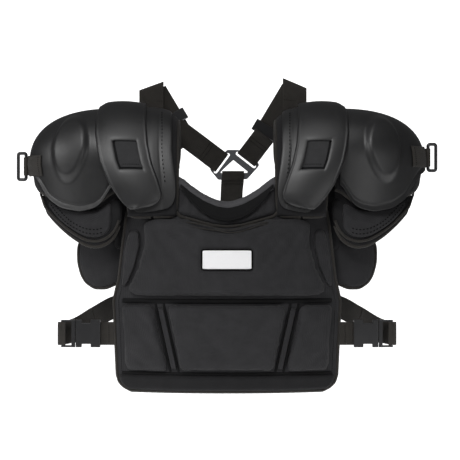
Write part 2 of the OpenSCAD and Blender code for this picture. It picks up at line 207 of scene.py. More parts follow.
def pillow(name, outer, inner, u, v):
    """Closed pad: two grids that meet along their border."""
    rows, cols = u.shape
    out_ids = grid_numbers(rows, cols)
    in_ids = out_ids.copy()
    inside = np.zeros((rows, cols), bool)
    inside[1:-1, 1:-1] = True
    in_ids[inside] = rows * cols + np.arange(inside.sum())
    border = (outer + inner) / 2
    top = np.where(inside[..., None], outer, border)
    points = np.vstack([top.reshape(-1, 3), inner[inside]])
    front, back = quads(out_ids).reshape(-1, 4), quads(in_ids).reshape(-1, 4)
    if facing_out(outer, inner):
        back = back[:, ::-1]
    else:
        front = front[:, ::-1]
    uv = real_size(outer, u, v)
    return mesh_object(name, points, np.vstack([front, back]), np.vstack([uv.reshape(-1, 2), uv[inside]]))


def plate(name, outer, inner, u, v, hole=None, bevel=0.8):
    """Plate between two grids, with a wall round its border and round a hole given as a mask of cells."""
    rows, cols = u.shape
    ids = grid_numbers(rows, cols)
    keep = np.ones((rows - 1, cols - 1), bool) if hole is None else ~hole
    cells = quads(ids)[keep]
    if not facing_out(outer, inner):
        cells = cells[:, ::-1]
    edges = np.stack([cells, np.roll(cells, -1, axis=1)], -1).reshape(-1, 2)
    code = edges[:, 0] * rows * cols + edges[:, 1]
    back_code = edges[:, 1] * rows * cols + edges[:, 0]
    rim = edges[~np.isin(code, back_code)]
    shift = rows * cols
    walls = np.stack([rim[:, 1], rim[:, 0], rim[:, 0] + shift, rim[:, 1] + shift], -1)
    points = np.vstack([outer.reshape(-1, 3), inner.reshape(-1, 3)])
    uv = real_size(outer, u, v).reshape(-1, 2)
    faces = np.vstack([cells, cells[:, ::-1] + shift, walls])
    used, renumbered = np.unique(faces, return_inverse=True)
    obj = mesh_object(name, points[used], renumbered.reshape(faces.shape), np.vstack([uv, uv])[used])
    if bevel:
        soften(obj, bevel)
    return obj


def soften(obj, width, segments=3):
    """Rounds sharp edges."""
    mod = obj.modifiers.new("rounding", "BEVEL")
    mod.width = width * MM
    mod.segments = segments
    mod.limit_method = "ANGLE"
    mod.angle_limit = np.radians(40)
    return obj


def tube(name, path, radius, ref, sides=10, closed=False, flat=1.0, wobble=None):
    """Round bar along a path: circles of this radius across the path; flat squeezes them along ref."""
    p = np.asarray(path, float)
    if closed:
        ahead, behind = np.roll(p, -1, 0), np.roll(p, 1, 0)
    else:
        ahead, behind = np.vstack([p[1:], p[-1:]]), np.vstack([p[:1], p[:-1]])
    t = unit(ahead - behind)
    ref = np.broadcast_to(np.asarray(ref, float), p.shape)
    side = unit(np.cross(t, ref))
    up = np.cross(side, t)
    a = np.linspace(0, 2 * np.pi, sides, endpoint=False)
    ring = np.cos(a)[None, :, None] * side[:, None] + flat * np.sin(a)[None, :, None] * up[:, None]
    rad = np.full(len(p), radius) if wobble is None else radius * wobble
    pts = p[:, None] + ring * rad[:, None, None]
    n = len(p)
    ids = grid_numbers(n, sides)
    wrap = np.hstack([ids, ids[:, :1]])
    if closed:
        wrap = np.vstack([wrap, wrap[:1]])
    faces = [list(f) for f in quads(wrap).reshape(-1, 4)]
    if not closed:
        faces += [list(ids[0]), list(ids[-1][::-1])]
    length = np.concatenate([[0], np.cumsum(np.linalg.norm(np.diff(p, axis=0), axis=1))])
    uv = np.stack(np.broadcast_arrays(a[None] * radius, length[:, None]), -1)
    obj = mesh_object(name, pts.reshape(-1, 3), faces, uv.reshape(-1, 2))
    turn_outwards(obj)
    return obj


def turn_outwards(obj):
    """Recalculates a closed mesh's normals so that they point outwards."""
    bm = bmesh.new()
    bm.from_mesh(obj.data)
    bmesh.ops.recalc_face_normals(bm, faces=bm.faces)
    bm.to_mesh(obj.data)
    bm.free()


def ribbon(name, route, across, width, thick, cells=40, crown=0.25, slanted=False):
    """Webbing: a flat section with rounded sides along a curve; across is squared to it unless it is slanted."""
    t = np.linspace(0, 1, cells + 1)
    p = through(route, t)
    heading = unit(through(route, np.clip(t + 0.005, 0, 1)) - through(route, np.clip(t - 0.005, 0, 1)))
    across = np.broadcast_to(np.asarray(across, float), p.shape)
    side = across if slanted else unit(across - (across * heading).sum(1, keepdims=True) * heading)
    normal = unit(np.cross(heading, side))
    half, r = width / 2, thick / 2
    lane = np.linspace(-half + r, half - r, 13)
    end = np.linspace(np.pi / 2, -np.pi / 2, 6)[1:-1]
    sx = np.concatenate([lane, half - r + r * np.cos(end), lane[::-1], -half + r - r * np.cos(end)])
    face = r + crown * (np.cos(np.pi * lane / width) - 1) * r * 0.4
    sy = np.concatenate([face, r * np.sin(end), -face[::-1], -r * np.sin(end)])
    pts = p[:, None] + side[:, None] * sx[None, :, None] + normal[:, None] * sy[None, :, None]
    ids = grid_numbers(len(p), len(sx))
    wrap = np.hstack([ids, ids[:, :1]])
    length = np.concatenate([[0], np.cumsum(np.linalg.norm(np.diff(p, axis=0), axis=1))])
    uv = np.stack(np.broadcast_arrays(sx[None], length[:, None]), -1)
    faces = [list(f) for f in quads(wrap).reshape(-1, 4)] + [list(ids[0]), list(ids[-1][::-1])]
    obj = mesh_object(name, pts.reshape(-1, 3), faces, uv.reshape(-1, 2))
    turn_outwards(obj)
    return obj


def join(name, objects):
    """One object from several."""
    bpy.ops.object.select_all(action="DESELECT")
    for o in objects:
        o.select_set(True)
    bpy.context.view_layer.objects.active = objects[0]
    bpy.ops.object.join()
    obj = bpy.context.view_layer.objects.active
    obj.name = name
    obj.data.name = name
    return obj


def stitches(name, path, normal, pitch=4.2, length=2.6, radius=0.38):
    """Row of thread dashes along a path: each a short six-sided grain lying on the surface."""
    p = np.asarray(path, float)
    step = np.linalg.norm(np.diff(p, axis=0), axis=1)
    run = np.concatenate([[0], np.cumsum(step)])
    count = max(int(run[-1] / pitch), 1)
    at = (np.arange(count) + 0.5) * run[-1] / count
    mid = np.stack([np.interp(at, run, p[:, k]) for k in range(3)], -1)
    ahead = np.stack([np.interp(at + 0.5, run, p[:, k]) for k in range(3)], -1)
    behind = np.stack([np.interp(at - 0.5, run, p[:, k]) for k in range(3)], -1)
    t = unit(ahead - behind)
    n = np.broadcast_to(np.asarray(normal, float), p.shape)
    n = unit(np.stack([np.interp(at, run, n[:, k]) for k in range(3)], -1))
    side = unit(np.cross(t, n))
    up = np.cross(side, t)
    a = np.linspace(0, 2 * np.pi, 6, endpoint=False)
    ring = np.cos(a)[None, :, None] * side[:, None] + np.sin(a)[None, :, None] * up[:, None]
    ends = [(-0.5, 0.35), (-0.3, 1.0), (0.3, 1.0), (0.5, 0.35)]
    pts = np.stack([mid[:, None] + t[:, None] * length * e + ring * radius * k for e, k in ends], 1)
    one = grid_numbers(4, 6)
    wrap = np.hstack([one, one[:, :1]])
    side_faces = quads(wrap).reshape(-1, 4)
    base = np.arange(count)[:, None, None] * 24
    sides4 = (side_faces[None] + base).reshape(-1, 4).tolist()
    caps = (one[0][None] + base[:, :, 0]).tolist() + (one[-1][::-1][None] + base[:, :, 0]).tolist()
    obj = mesh_object(name, pts.reshape(-1, 3), sides4 + caps, np.zeros((count * 24, 2)))
    turn_outwards(obj)
    return obj


def border_path(surface, power=0, samples=48, inset=0.0):
    """Closed path round a surface's border; surface(u, v) gives points, power rounds the corners."""
    t = np.linspace(0, 1, samples, endpoint=False)
    u = np.concatenate([t, np.ones(samples), 1 - t, np.zeros(samples)])
    v = np.concatenate([np.zeros(samples), t, np.ones(samples), 1 - t])
    if power:
        u, v = rounded(u, v, power)
    u, v = mix(0.5, u, 1 - inset), mix(0.5, v, 1 - inset)
    return surface(u, v)


def even(path, count, closed=True):
    """The same path with evenly spaced points."""
    p = np.vstack([path, path[:1]]) if closed else np.asarray(path)
    run = np.concatenate([[0], np.cumsum(np.linalg.norm(np.diff(p, axis=0), axis=1))])
    at = np.linspace(0, run[-1], count + 1)[:-1] if closed else np.linspace(0, run[-1], count)
    return np.stack([np.interp(at, run, p[:, k]) for k in range(3)], -1)


def settle(obj, voxel=5.0, pressure=4.0, cap=5.0):
    """Stuffed fabric by cloth simulation: remesh, blow up with gravity off, cap each point's move, subdivide."""
    scene = bpy.context.scene
    remesh = obj.modifiers.new("remesh", "REMESH")
    remesh.mode = "VOXEL"
    remesh.voxel_size = voxel * MM
    remesh.use_smooth_shade = True
    apply_modifier(obj, remesh)
    start = vertex_places(obj)
    cloth = obj.modifiers.new("cloth", "CLOTH")
    cloth.settings.use_pressure = True
    cloth.settings.uniform_pressure_force = pressure
    cloth.settings.effector_weights.gravity = 0
    cloth.settings.quality = 4
    cloth.settings.mass = 0.3
    cloth.point_cache.frame_start = 1
    cloth.point_cache.frame_end = 20
    for number in range(1, 21):
        scene.frame_set(number)
    settled = obj.evaluated_get(bpy.context.evaluated_depsgraph_get())
    end = np.empty(len(settled.data.vertices) * 3)
    settled.data.vertices.foreach_get("co", end)
    obj.modifiers.remove(cloth)
    scene.frame_set(1)
    move = end.reshape(-1, 3) - start
    far = np.linalg.norm(move, axis=1, keepdims=True)
    move *= np.minimum(1, cap * MM / np.maximum(far, 1e-9))
    obj.data.vertices.foreach_set("co", (start + move).ravel())
    obj.data.update()
    sub = obj.modifiers.new("subdivision", "SUBSURF")
    sub.levels = sub.render_levels = 1
    apply_modifier(obj, sub)
    obj.data.polygons.foreach_set("use_smooth", np.ones(len(obj.data.polygons), bool))
    return obj


def apply_modifier(obj, mod):
    """Applies one modifier."""
    bpy.context.view_layer.objects.active = obj
    with bpy.context.temp_override(object=obj, active_object=obj, selected_objects=[obj]):
        bpy.ops.object.modifier_apply(modifier=mod.name)


def vertex_places(obj):
    """Vertex positions as an array."""
    co = np.empty(len(obj.data.vertices) * 3)
    obj.data.vertices.foreach_get("co", co)
    return co.reshape(-1, 3)


def finish_piece(obj, body, material, replaces=()):
    """Gives a piece its material, body and the CAD nodes that it stands for."""
    obj.data.materials.clear()
    obj.data.materials.append(material)
    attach(obj, body)
    if replaces:
        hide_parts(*replaces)
    return obj


# ---------------------------------------------------------------- materials


def link(tree, value, socket):
    """Puts a number, colour or other node's output on a socket."""
    if isinstance(value, bpy.types.NodeSocket):
        tree.links.new(value, socket)
    else:
        socket.default_value = value


def math_node(tree, kind, a, b=0.0, clamp=False):
    """One arithmetic node."""
    node = tree.nodes.new("ShaderNodeMath")
    node.operation = kind
    node.use_clamp = clamp
    link(tree, a, node.inputs[0])
    link(tree, b, node.inputs[1])
    return node.outputs[0]


def noise_node(tree, vector, scale, detail=3.0, rough=0.5):
    """Noise from 0 to 1 at this many cells per metre."""
    node = tree.nodes.new("ShaderNodeTexNoise")
    tree.links.new(vector, node.inputs["Vector"])
    node.inputs["Scale"].default_value = scale
    node.inputs["Detail"].default_value = detail
    node.inputs["Roughness"].default_value = rough
    return node.outputs["Fac"]


def ramp_node(tree, value, stops):
    """Colour ramp through (place, colour) stops."""
    node = tree.nodes.new("ShaderNodeValToRGB")
    ramp = node.color_ramp
    while len(ramp.elements) < len(stops):
        ramp.elements.new(0.5)
    for element, (place, colour) in zip(ramp.elements, stops):
        element.position = place
        element.color = (*colour, 1)
    tree.links.new(value, node.inputs["Fac"])
    return node.outputs["Color"]


def bump_node(tree, height, distance, strength=1.0, normal=None):
    """Bump of this depth in metres."""
    node = tree.nodes.new("ShaderNodeBump")
    node.inputs["Strength"].default_value = strength
    node.inputs["Distance"].default_value = distance
    tree.links.new(height, node.inputs["Height"])
    if normal is not None:
        tree.links.new(normal, node.inputs["Normal"])
    return node.outputs["Normal"]


def new_material(name):
    """Empty material, its tree and its shader."""
    material = bpy.data.materials.new(name)
    material.use_nodes = True
    tree = material.node_tree
    shader = tree.nodes["Principled BSDF"]
    return material, tree, shader


def coordinates(tree, uv=False):
    """Object or cloth coordinates and their three parts."""
    if uv:
        node = tree.nodes.new("ShaderNodeUVMap")
        node.uv_map = "cloth"
        vector = node.outputs["UV"]
    else:
        vector = tree.nodes.new("ShaderNodeTexCoord").outputs["Object"]
    split = tree.nodes.new("ShaderNodeSeparateXYZ")
    tree.links.new(vector, split.inputs[0])
    return vector, split.outputs


def scaled(colour, factor):
    """Colour made lighter or darker by a factor."""
    return tuple(factor * part for part in colour)


def rib(tree, value, pitch):
    """Sine rib along one coordinate."""
    return math_node(tree, "SINE", math_node(tree, "MULTIPLY", value, 2 * np.pi / pitch))


def woven(name, dark, light, pitch, depth, roughness, sheen, mottling=0.35):
    """Woven cloth: a lattice of threads in all three directions, slub, broad mottling and a soft sheen."""
    material, tree, shader = new_material(name)
    vector, (x, y, z) = coordinates(tree)
    rx, ry, rz = (rib(tree, c, pitch) for c in (x, y, z))
    weave = math_node(tree, "MULTIPLY", rx, rz)
    weave = math_node(tree, "ADD", weave, math_node(tree, "MULTIPLY", ry, rz))
    weave = math_node(tree, "ADD", weave, math_node(tree, "MULTIPLY", rx, ry))
    slub = noise_node(tree, vector, 900, 2.0)
    broad = noise_node(tree, vector, 38, 4.0, 0.6)
    height = math_node(tree, "ADD", math_node(tree, "MULTIPLY", weave, 0.35), slub)
    shade = math_node(tree, "MULTIPLY_ADD", weave, 0.12)
    tree.nodes[-1].inputs[2].default_value = 0.30
    shade = math_node(tree, "ADD", shade, math_node(tree, "MULTIPLY", slub, 0.3))
    shade = math_node(tree, "ADD", shade, math_node(tree, "MULTIPLY", broad, mottling), clamp=True)
    tree.links.new(ramp_node(tree, shade, [(0.25, dark), (0.95, light)]), shader.inputs["Base Color"])
    tree.links.new(bump_node(tree, height, depth), shader.inputs["Normal"])
    rough = math_node(tree, "MULTIPLY_ADD", slub, 0.15)
    tree.nodes[-1].inputs[2].default_value = roughness - 0.07
    tree.links.new(rough, shader.inputs["Roughness"])
    shader.inputs["Sheen Weight"].default_value = sheen
    shader.inputs["Sheen Roughness"].default_value = 0.45
    shader.inputs["Specular IOR Level"].default_value = 0.18
    return material


def banded(name, dark, light, rib_pitch=1.5, thread_pitch=2.2, depth=0.00025, roughness=0.72):
    """Webbing: ribs along the strap crossed by short threads, from its own width and length coordinates."""
    material, tree, shader = new_material(name)
    vector, (u, v, _) = coordinates(tree, uv=True)
    lengthwise = rib(tree, u, rib_pitch * MM)
    crosswise = rib(tree, v, thread_pitch * MM)
    slant = rib(tree, math_node(tree, "ADD", u, v), thread_pitch * MM)
    height = math_node(tree, "ADD", lengthwise, math_node(tree, "MULTIPLY", crosswise, 0.6))
    height = math_node(tree, "ADD", height, math_node(tree, "MULTIPLY", slant, 0.3))
    fuzz = noise_node(tree, vector, 1400, 2.0)
    broad = noise_node(tree, vector, 60, 3.0)
    shade = math_node(tree, "ADD", math_node(tree, "MULTIPLY", height, 0.12), math_node(tree, "MULTIPLY", fuzz, 0.5))
    shade = math_node(tree, "ADD", shade, math_node(tree, "MULTIPLY", broad, 0.4), clamp=True)
    tree.links.new(ramp_node(tree, shade, [(0.2, dark), (0.9, light)]), shader.inputs["Base Color"])
    tree.links.new(bump_node(tree, height, depth), shader.inputs["Normal"])
    shader.inputs["Roughness"].default_value = roughness
    shader.inputs["Sheen Weight"].default_value = 0.05
    shader.inputs["Sheen Roughness"].default_value = 0.4
    shader.inputs["Specular IOR Level"].default_value = 0.3
    return material


def moulded(name, colour, roughness, grain=0.00006, scuff=0.12, cells=1500):
    """Moulded plastic: fine spark-eroded grain, faint flow streaks and a little scuffing in its roughness."""
    material, tree, shader = new_material(name)
    vector = coordinates(tree)[0]
    fine = noise_node(tree, vector, cells, 2.0)
    cloudy = noise_node(tree, vector, 26, 5.0, 0.65)
    scratch = noise_node(tree, vector, 210, 6.0, 0.75)
    tint = math_node(tree, "ADD", math_node(tree, "MULTIPLY", cloudy, 0.7), math_node(tree, "MULTIPLY", fine, 0.3))
    low = scaled(colour, 0.82)
    high = scaled(colour, 1.25)
    tree.links.new(ramp_node(tree, tint, [(0.3, low), (0.7, high)]), shader.inputs["Base Color"])
    scratches = math_node(tree, "MULTIPLY", scratch, scuff)
    wear = math_node(tree, "ADD", math_node(tree, "MULTIPLY", cloudy, scuff), scratches)
    wear = math_node(tree, "ADD", wear, roughness - scuff)
    tree.links.new(wear, shader.inputs["Roughness"])
    tree.links.new(bump_node(tree, fine, grain), shader.inputs["Normal"])
    shader.inputs["Specular IOR Level"].default_value = 0.5
    return material


def plain_thread(name, colour):
    """Sewing thread: twisted strands, almost matt."""
    material, tree, shader = new_material(name)
    x, y, z = coordinates(tree)[1]
    twist = rib(tree, math_node(tree, "ADD", math_node(tree, "ADD", x, y), z), 0.0006)
    tones = [(0.0, scaled(colour, 0.7)), (0.6, colour)]
    strands = ramp_node(tree, math_node(tree, "MULTIPLY_ADD", twist, 0.5), tones)
    tree.links.new(strands, shader.inputs["Base Color"])
    shader.inputs["Roughness"].default_value = 0.85
    shader.inputs["Specular IOR Level"].default_value = 0.06
    return material


def label_cloth(name, colour):
    """Woven label: fine close threads, almost white."""
    material, tree, shader = new_material(name)
    x, _, z = coordinates(tree)[1]
    weave = math_node(tree, "MULTIPLY", rib(tree, x, 0.0007), rib(tree, z, 0.0005))
    tone = math_node(tree, "MULTIPLY_ADD", weave, 0.3)
    tree.nodes[-1].inputs[2].default_value = 0.5
    tree.links.new(ramp_node(tree, tone, [(0.0, scaled(colour, 0.86)), (1.0, colour)]),
                   shader.inputs["Base Color"])
    tree.links.new(bump_node(tree, weave, 0.00008), shader.inputs["Normal"])
    shader.inputs["Roughness"].default_value = 0.8
    return material


# ---------------------------------------------------------------- chest shape

HEM_Z = HEM_BASE + 4.0
CHEST_EDGE = [(HEM_Z, 156), (HEM_Z + 3, 164), (HEM_Z + 8, 172), (HEM_Z + 15, 177), (HEM_Z + 25, 180), (-240, 182),
              (-162, CHEST_HALF), (-125, 177), (-80, 172), (-30, 166), (0, 160)]
NECK_SEAM = [(0, -41), (21, -39), (54, -30), (76, -24), (180, -25)]
UPPER_EDGE = [(-157, 153), (-152, 159), (-140, 161), (-106, 147), (-70, 138), (-30, 137), (0, 137)]
BACKING_T = (10.7, 16.6)
PANEL_T = (16.2, 29.4)
SEAM = (3.6, 2.3, 0.35)      # pitch, length and radius of the long seams' stitches
GROOVE_T = 17.0
PANEL_ROWS = (-276.5, -166.0)


def chest_inner(x, z):
    """Inner face of the chest: set forward, leaning back above the ribs, and bowed back as |x|^2.2."""
    lean = 14 * np.clip((z + 130) / 130, 0, 1) ** 2
    return -(CHEST_FRONT - lean) + 50 * (np.abs(x) / 180) ** 2.2


def on_chest(x, z, t):
    """Points on the chest, t millimetres in front of its inner face."""
    x, z, t = np.broadcast_arrays(x, z, t)
    return np.stack([x, chest_inner(x, z) - t, z], -1)


def crease(x, z, a, b, width, depth):
    """Soft fold from a to b: a valley with a Gaussian section, deepest in its middle."""
    a, b = np.array(a, float), np.array(b, float)
    d = b - a
    k = np.clip(((x - a[0]) * d[0] + (z - a[1]) * d[1]) / (d @ d), 0, 1)
    off = np.hypot(x - a[0] - k * d[0], z - a[1] - k * d[1])
    return -depth * np.exp(-(off / width) ** 2) * np.sin(np.pi * np.clip(k, 0.06, 0.94))


def ripples(x, z, seed, size, length):
    """Slow uneven rise and fall of stretched cloth: a few crossed waves with seeded directions."""
    rng = np.random.default_rng(seed)
    total = np.zeros_like(x, float)
    for _ in range(5):
        angle, phase = rng.uniform(0, np.pi), rng.uniform(0, 2 * np.pi)
        wave = length * rng.uniform(0.7, 1.6)
        total = total + np.sin((x * np.cos(angle) + z * np.sin(angle)) * 2 * np.pi / wave + phase)
    return size * total / 5


def seamed(u, v, low_z, half, drop=0.0, span=160):
    """x and z of a pad that ends at the neck seam."""
    s = 2 * u - 1
    top = table(np.abs(s * span), NECK_SEAM) - drop
    z = mix(low_z, top, v)
    return s * table(z, half), z


UPPER_FOLDS = [((-132, -28), (-62, -122), 9, 3.4), ((132, -28), (70, -116), 9, 3.4),
               ((-100, -40), (-24, -104), 7, 2.4), ((104, -42), (40, -124), 7, 2.6),
               ((-128, -60), (-84, -140), 7, 2.2), ((128, -60), (92, -142), 7, 2.2),
               ((-14, -50), (-74, -32), 3.0, 2.8), ((14, -50), (74, -32), 3.0, 2.8),
               ((-34, -58), (-96, -37), 3.6, 2.4), ((40, -58), (98, -37), 3.6, 2.4),
               ((-60, -64), (-112, -40), 4.0, 1.8), ((66, -64), (114, -40), 4.0, 1.8),
               ((-132, -126), (-40, -142), 8, 1.8), ((132, -126), (52, -144), 8, 1.8)]
CENTRE_FOLDS = [((-64, -186), (16, -264), 10, 2.2), ((74, -180), (20, -246), 9, 2.2),
                ((-74, -266), (-10, -244), 8, 1.8), ((-20, -176), (40, -196), 6, 1.4)]
SIDE_FOLDS = [((104, -262), (162, -186), 8, 3.0), ((112, -222), (152, -174), 6, 2.0),
              ((124, -270), (168, -240), 6, 2.0)]


def fold_depth(x, z, folds):
    """Sum of the folds at each point."""
    return sum(crease(x, z, *fold) for fold in folds)


def chest_pad_piece(name, place, nu, nv, power, radius, t=PANEL_T, rise=1.2):
    """Sewn foam pad on the chest: quarter-round sides and a slightly crowned face."""
    u0, v0 = squares(nu, nv)
    u, v = rounded(u0, v0, power)
    x, z = place(u, v)
    width, height = np.ptp(x), np.ptp(z)
    body = swell(u0, v0, width, height, radius)
    crown = rise * np.sin(np.pi * u0) * np.sin(np.pi * v0)
    outer = on_chest(x, z, t[0] + body * (t[1] - t[0] + crown))
    inner = on_chest(x, z, t[0] - 0.2 * body)
    return pillow(name, outer, inner, u0, v0)


def press_folds(obj, folds, seed, t=PANEL_T):
    """Pushes the folds, the uneven stretch of the cloth and a flat seat for the label into a settled pad's front."""
    co = vertex_places(obj) / MM
    x, y, z = co.T
    rise = chest_inner(x, z) - y
    weight = np.clip((rise - t[0] - 3) / (t[1] - t[0] - 6), 0, 1)
    change = fold_depth(x, z, folds) + ripples(x, z, seed, 0.8, 46) + ripples(x, z, seed + 1, 0.4, 17)
    seat = smooth((48 - np.abs(x)) / 9) * smooth((25 - np.abs(z - (LABEL_LOW[2] + LABEL_HIGH[2]) / 2)) / 9)
    rise = rise + weight * change
    co[:, 1] = chest_inner(x, z) - np.where(weight > 0, mix(rise, np.minimum(rise, t[1] + 1.4), seat), rise)
    obj.data.vertices.foreach_set("co", (co * MM).astype(np.float32).ravel())
    obj.data.update()
    return obj


def build_chest(cloth, dark_cloth, lining, thread, tape, label_white, insert, groove_shade):
    """Backing, lining, sewn front pads, hem band, bindings, seams and label, with very dark tubes in the seam valleys
    as painted shade.
    """
    top_fold = 18.0

    def cover_place(u, v):
        s = 2 * u - 1
        top = table(np.abs(s * 160), NECK_SEAM) + top_fold * smooth((np.abs(s * 160) - 72) / 20)
        z = mix(HEM_Z, top, v)
        return s * table(z, CHEST_EDGE), z

    u0, v0 = squares(90, 80)
    x, z = cover_place(u0, v0)
    body = swell(u0, v0, 360, 280, 4)
    front = BACKING_T[1] + ripples(x, z, 3, 0.3, 40)
    cover = pillow("chest_cover", on_chest(x, z, mix(13.5, front, body)),
                   on_chest(x, z, mix(13.5, BACKING_T[0], body)),
                   u0, v0)
    finish_piece(cover, "chest", cloth, ["chest_backing"])

    u0, v0 = squares(90, 80)
    x, z = seamed(u0, v0, HEM_Z + 2, CHEST_EDGE, 2)
    x = x * 0.985
    body = swell(u0, v0, 350, 270, 5)
    quilt = 1.6 * np.abs(np.sin((x + z) * np.pi / 46)) ** 0.5 * np.abs(np.sin((x - z) * np.pi / 46)) ** 0.5
    liner = pillow("chest_liner", on_chest(x, z, mix(5, 9.0, body)),
                   on_chest(x, z, mix(5, 1.8 - quilt, body)), u0, v0)
    finish_piece(liner, "chest", lining, ["chest_lining"])
    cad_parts["chest_insert"].data.materials.clear()
    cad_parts["chest_insert"].data.materials.append(insert)

    upper = chest_pad_piece("upper_pad", lambda u, v: seamed(u, v, -157, UPPER_EDGE, 1), 150, 80, 14, 11, rise=1.5)
    upper = press_folds(settle(upper, 4.5, 3.0, 3.0), UPPER_FOLDS, 11)
    finish_piece(upper, "chest", cloth, ["upper_panel"])

    def centre(u, v):
        z = mix(*PANEL_ROWS, v)
        half = mix(77, 100, (z - PANEL_ROWS[0]) / (PANEL_ROWS[1] - PANEL_ROWS[0]))
        return (2 * u - 1) * half, z
    pad = chest_pad_piece("lower_centre_pad", centre, 96, 64, 16, 8)
    finish_piece(press_folds(settle(pad, 4.5, 3.0, 3.0), CENTRE_FOLDS, 21), "chest", cloth,
                 ["lower_center_panel"])

    for tag, side in SIDES:
        def flank(u, v, side=side):
            z = mix(*PANEL_ROWS, v)
            near = mix(93, 118, (z - PANEL_ROWS[0]) / (PANEL_ROWS[1] - PANEL_ROWS[0]))
            return side * mix(near, table(z, [(-276, 167), (-169, 173)]), u), z
        folds = [((side * a[0], a[1]), (side * b[0], b[1]), w, d) for a, b, w, d in SIDE_FOLDS]
        pad = chest_pad_piece("lower_side_pad_" + tag, flank, 56, 64, 12, 8, t=(16.2, 28.4))
        finish_piece(press_folds(settle(pad, 4.5, 3.0, 3.0), folds, 31 + side), "chest", cloth,
                     ["lower_panel_" + tag])

        def lens(u, v, side=side):
            z = mix(-138, -46, v)
            return side * mix(table(z, UPPER_EDGE) + 3.5, table(z, CHEST_EDGE) - 5, u), z
        strip = chest_pad_piece("side_strip_pad_" + tag, lens, 16, 50, 3.2, 5, t=(16.2, 23.5), rise=0.5)
        finish_piece(strip, "chest", cloth, ["side_strip_" + tag])

        def strip_line(u, v, side=side):
            z = mix(-272, -173, v)
            mid = mix(85, 109, (z + 276) / 107)
            return side * (mid + (u - 0.5) * 9), z
        flat_strip = chest_pad_piece("seam_strip_" + tag, strip_line, 10, 40, 10, 2.5, t=(16.2, 21.5), rise=0.2)
        finish_piece(flat_strip, "chest", cloth)

    def hem(u, v):
        z = mix(HEM_Z + 1, -282, v)
        return (2 * u - 1) * (table(z, CHEST_EDGE) - 1.5), z
    band = chest_pad_piece("hem_band", hem, 100, 16, 14, 6, t=(16.2, 23.8), rise=0.6)
    finish_piece(band, "chest", dark_cloth, ["bottom_band"])

    def outline(u, v):
        x, z = cover_place(u, v)
        return on_chest(x, z, 12.5)
    edge = even(border_path(outline, 0, 60), 420)
    binding = tube("chest_binding", edge, 3.1, (0, -1, 0), sides=12, closed=True, flat=1.9,
                   wobble=1 + 0.02 * np.sin(np.arange(420) * 1.7))
    finish_piece(binding, "chest", tape)

    # Very dark tubes along the two seam valleys and beside the seam strips: painted shade in the grooves.
    xs = np.linspace(-171, 171, 160)
    for zt, radius in ((-161.5, 3.8), (-279.4, 2.6)):
        valley_shade_tube = tube("valley_painted_shade", on_chest(xs, zt, GROOVE_T), radius, (0, -1, 0), sides=12, flat=0.6)
        finish_piece(valley_shade_tube, "chest", groove_shade)
    for side in (-1, 1):
        for shift in (-6.6, 6.6):
            z = np.linspace(-276, -166, 80)
            line = on_chest(side * (mix(85, 109, (z + 276) / 107) + shift), z, GROOVE_T)
            groove = tube("strip_groove_painted_shade", line, 2.2, (0, -1, 0), sides=8, flat=0.6)
            finish_piece(groove, "chest", groove_shade)
    v = np.linspace(0.015, 0.985, 160)
    rows = []
    for zt, limit, t in ((-161.5, 168, 16.9), (-279.2, 170, 17.0)):
        xs = np.linspace(-limit, limit, 200)
        rows.append(stitches("seam", on_chest(xs, zt, t), (0, -1, 0), *SEAM))
    for drop in (4.5, 9.5):
        x = np.linspace(-66, 66, 120)
        line = on_chest(x, soft_table(np.abs(x), NECK_SEAM, 20) - drop + 1.5 * np.sin(x * 0.09 + drop), 30.5)
        welt = tube("neck_welt", line, 0.9, (0, -1, 0), sides=8)
        finish_piece(welt, "chest", tape)
    for side in (-1, 1):
        z = mix(-306, -42, v)
        line = on_chest(side * (table(z, CHEST_EDGE) - 8), z, GROOVE_T)
        rows.append(stitches("seam", line, (0, -1, 0), *SEAM))
        for shift in (-6.4, 6.4):
            z = mix(-274, -172, v)
            rows.append(stitches("seam", on_chest(side * (mix(85, 109, (z + 276) / 107) + shift), z, 17.0),
                                 (0, -1, 0), *SEAM))
    finish_piece(join("chest_seams", rows), "chest", thread)

    u0, v0 = squares(60, 24, 0.2)
    u, v = rounded(u0, v0, 18)
    lx, lz = mix(LABEL_LOW[0], LABEL_HIGH[0], u), mix(LABEL_LOW[2], LABEL_HIGH[2], v)
    face_t = PANEL_T[1] + 2.6
    patch = plate("label_face", on_chest(lx, lz, face_t + 0.9), on_chest(lx, lz, face_t - 2.4), u0, v0, bevel=0.4)
    finish_piece(patch, "chest", label_white, ["label_patch"])

    def label_rim(a, b):
        return on_chest(mix(LABEL_LOW[0], LABEL_HIGH[0], a), mix(LABEL_LOW[2], LABEL_HIGH[2], b), face_t + 0.5)
    frame_path = even(border_path(label_rim, 18, 50), 300)
    edge = tube("label_edge", frame_path, 1.35, (0, -1, 0), sides=8, closed=True, flat=0.8,
                wobble=1 + 0.12 * np.sin(np.arange(300) * 2.1))
    finish_piece(edge, "chest", thread)


# ---------------------------------------------------------------- collar

RIM_SPAN, RIM_RISE, ROLL = 78, 41, 9.0


def rim_z(x):
    """Height of the collar rim: a power curve rising to both ends."""
    return RIM_RISE * (np.abs(x) / RIM_SPAN) ** 1.7


def rim_y(x):
    """Front-to-back place of the rim: it swings back towards its ends."""
    return -92 + 10 * (np.abs(x) / RIM_SPAN) ** 2


CRESCENT_LOW = [(0, -31), (18, -28), (35, -20), (60, 3), (76, 27)]


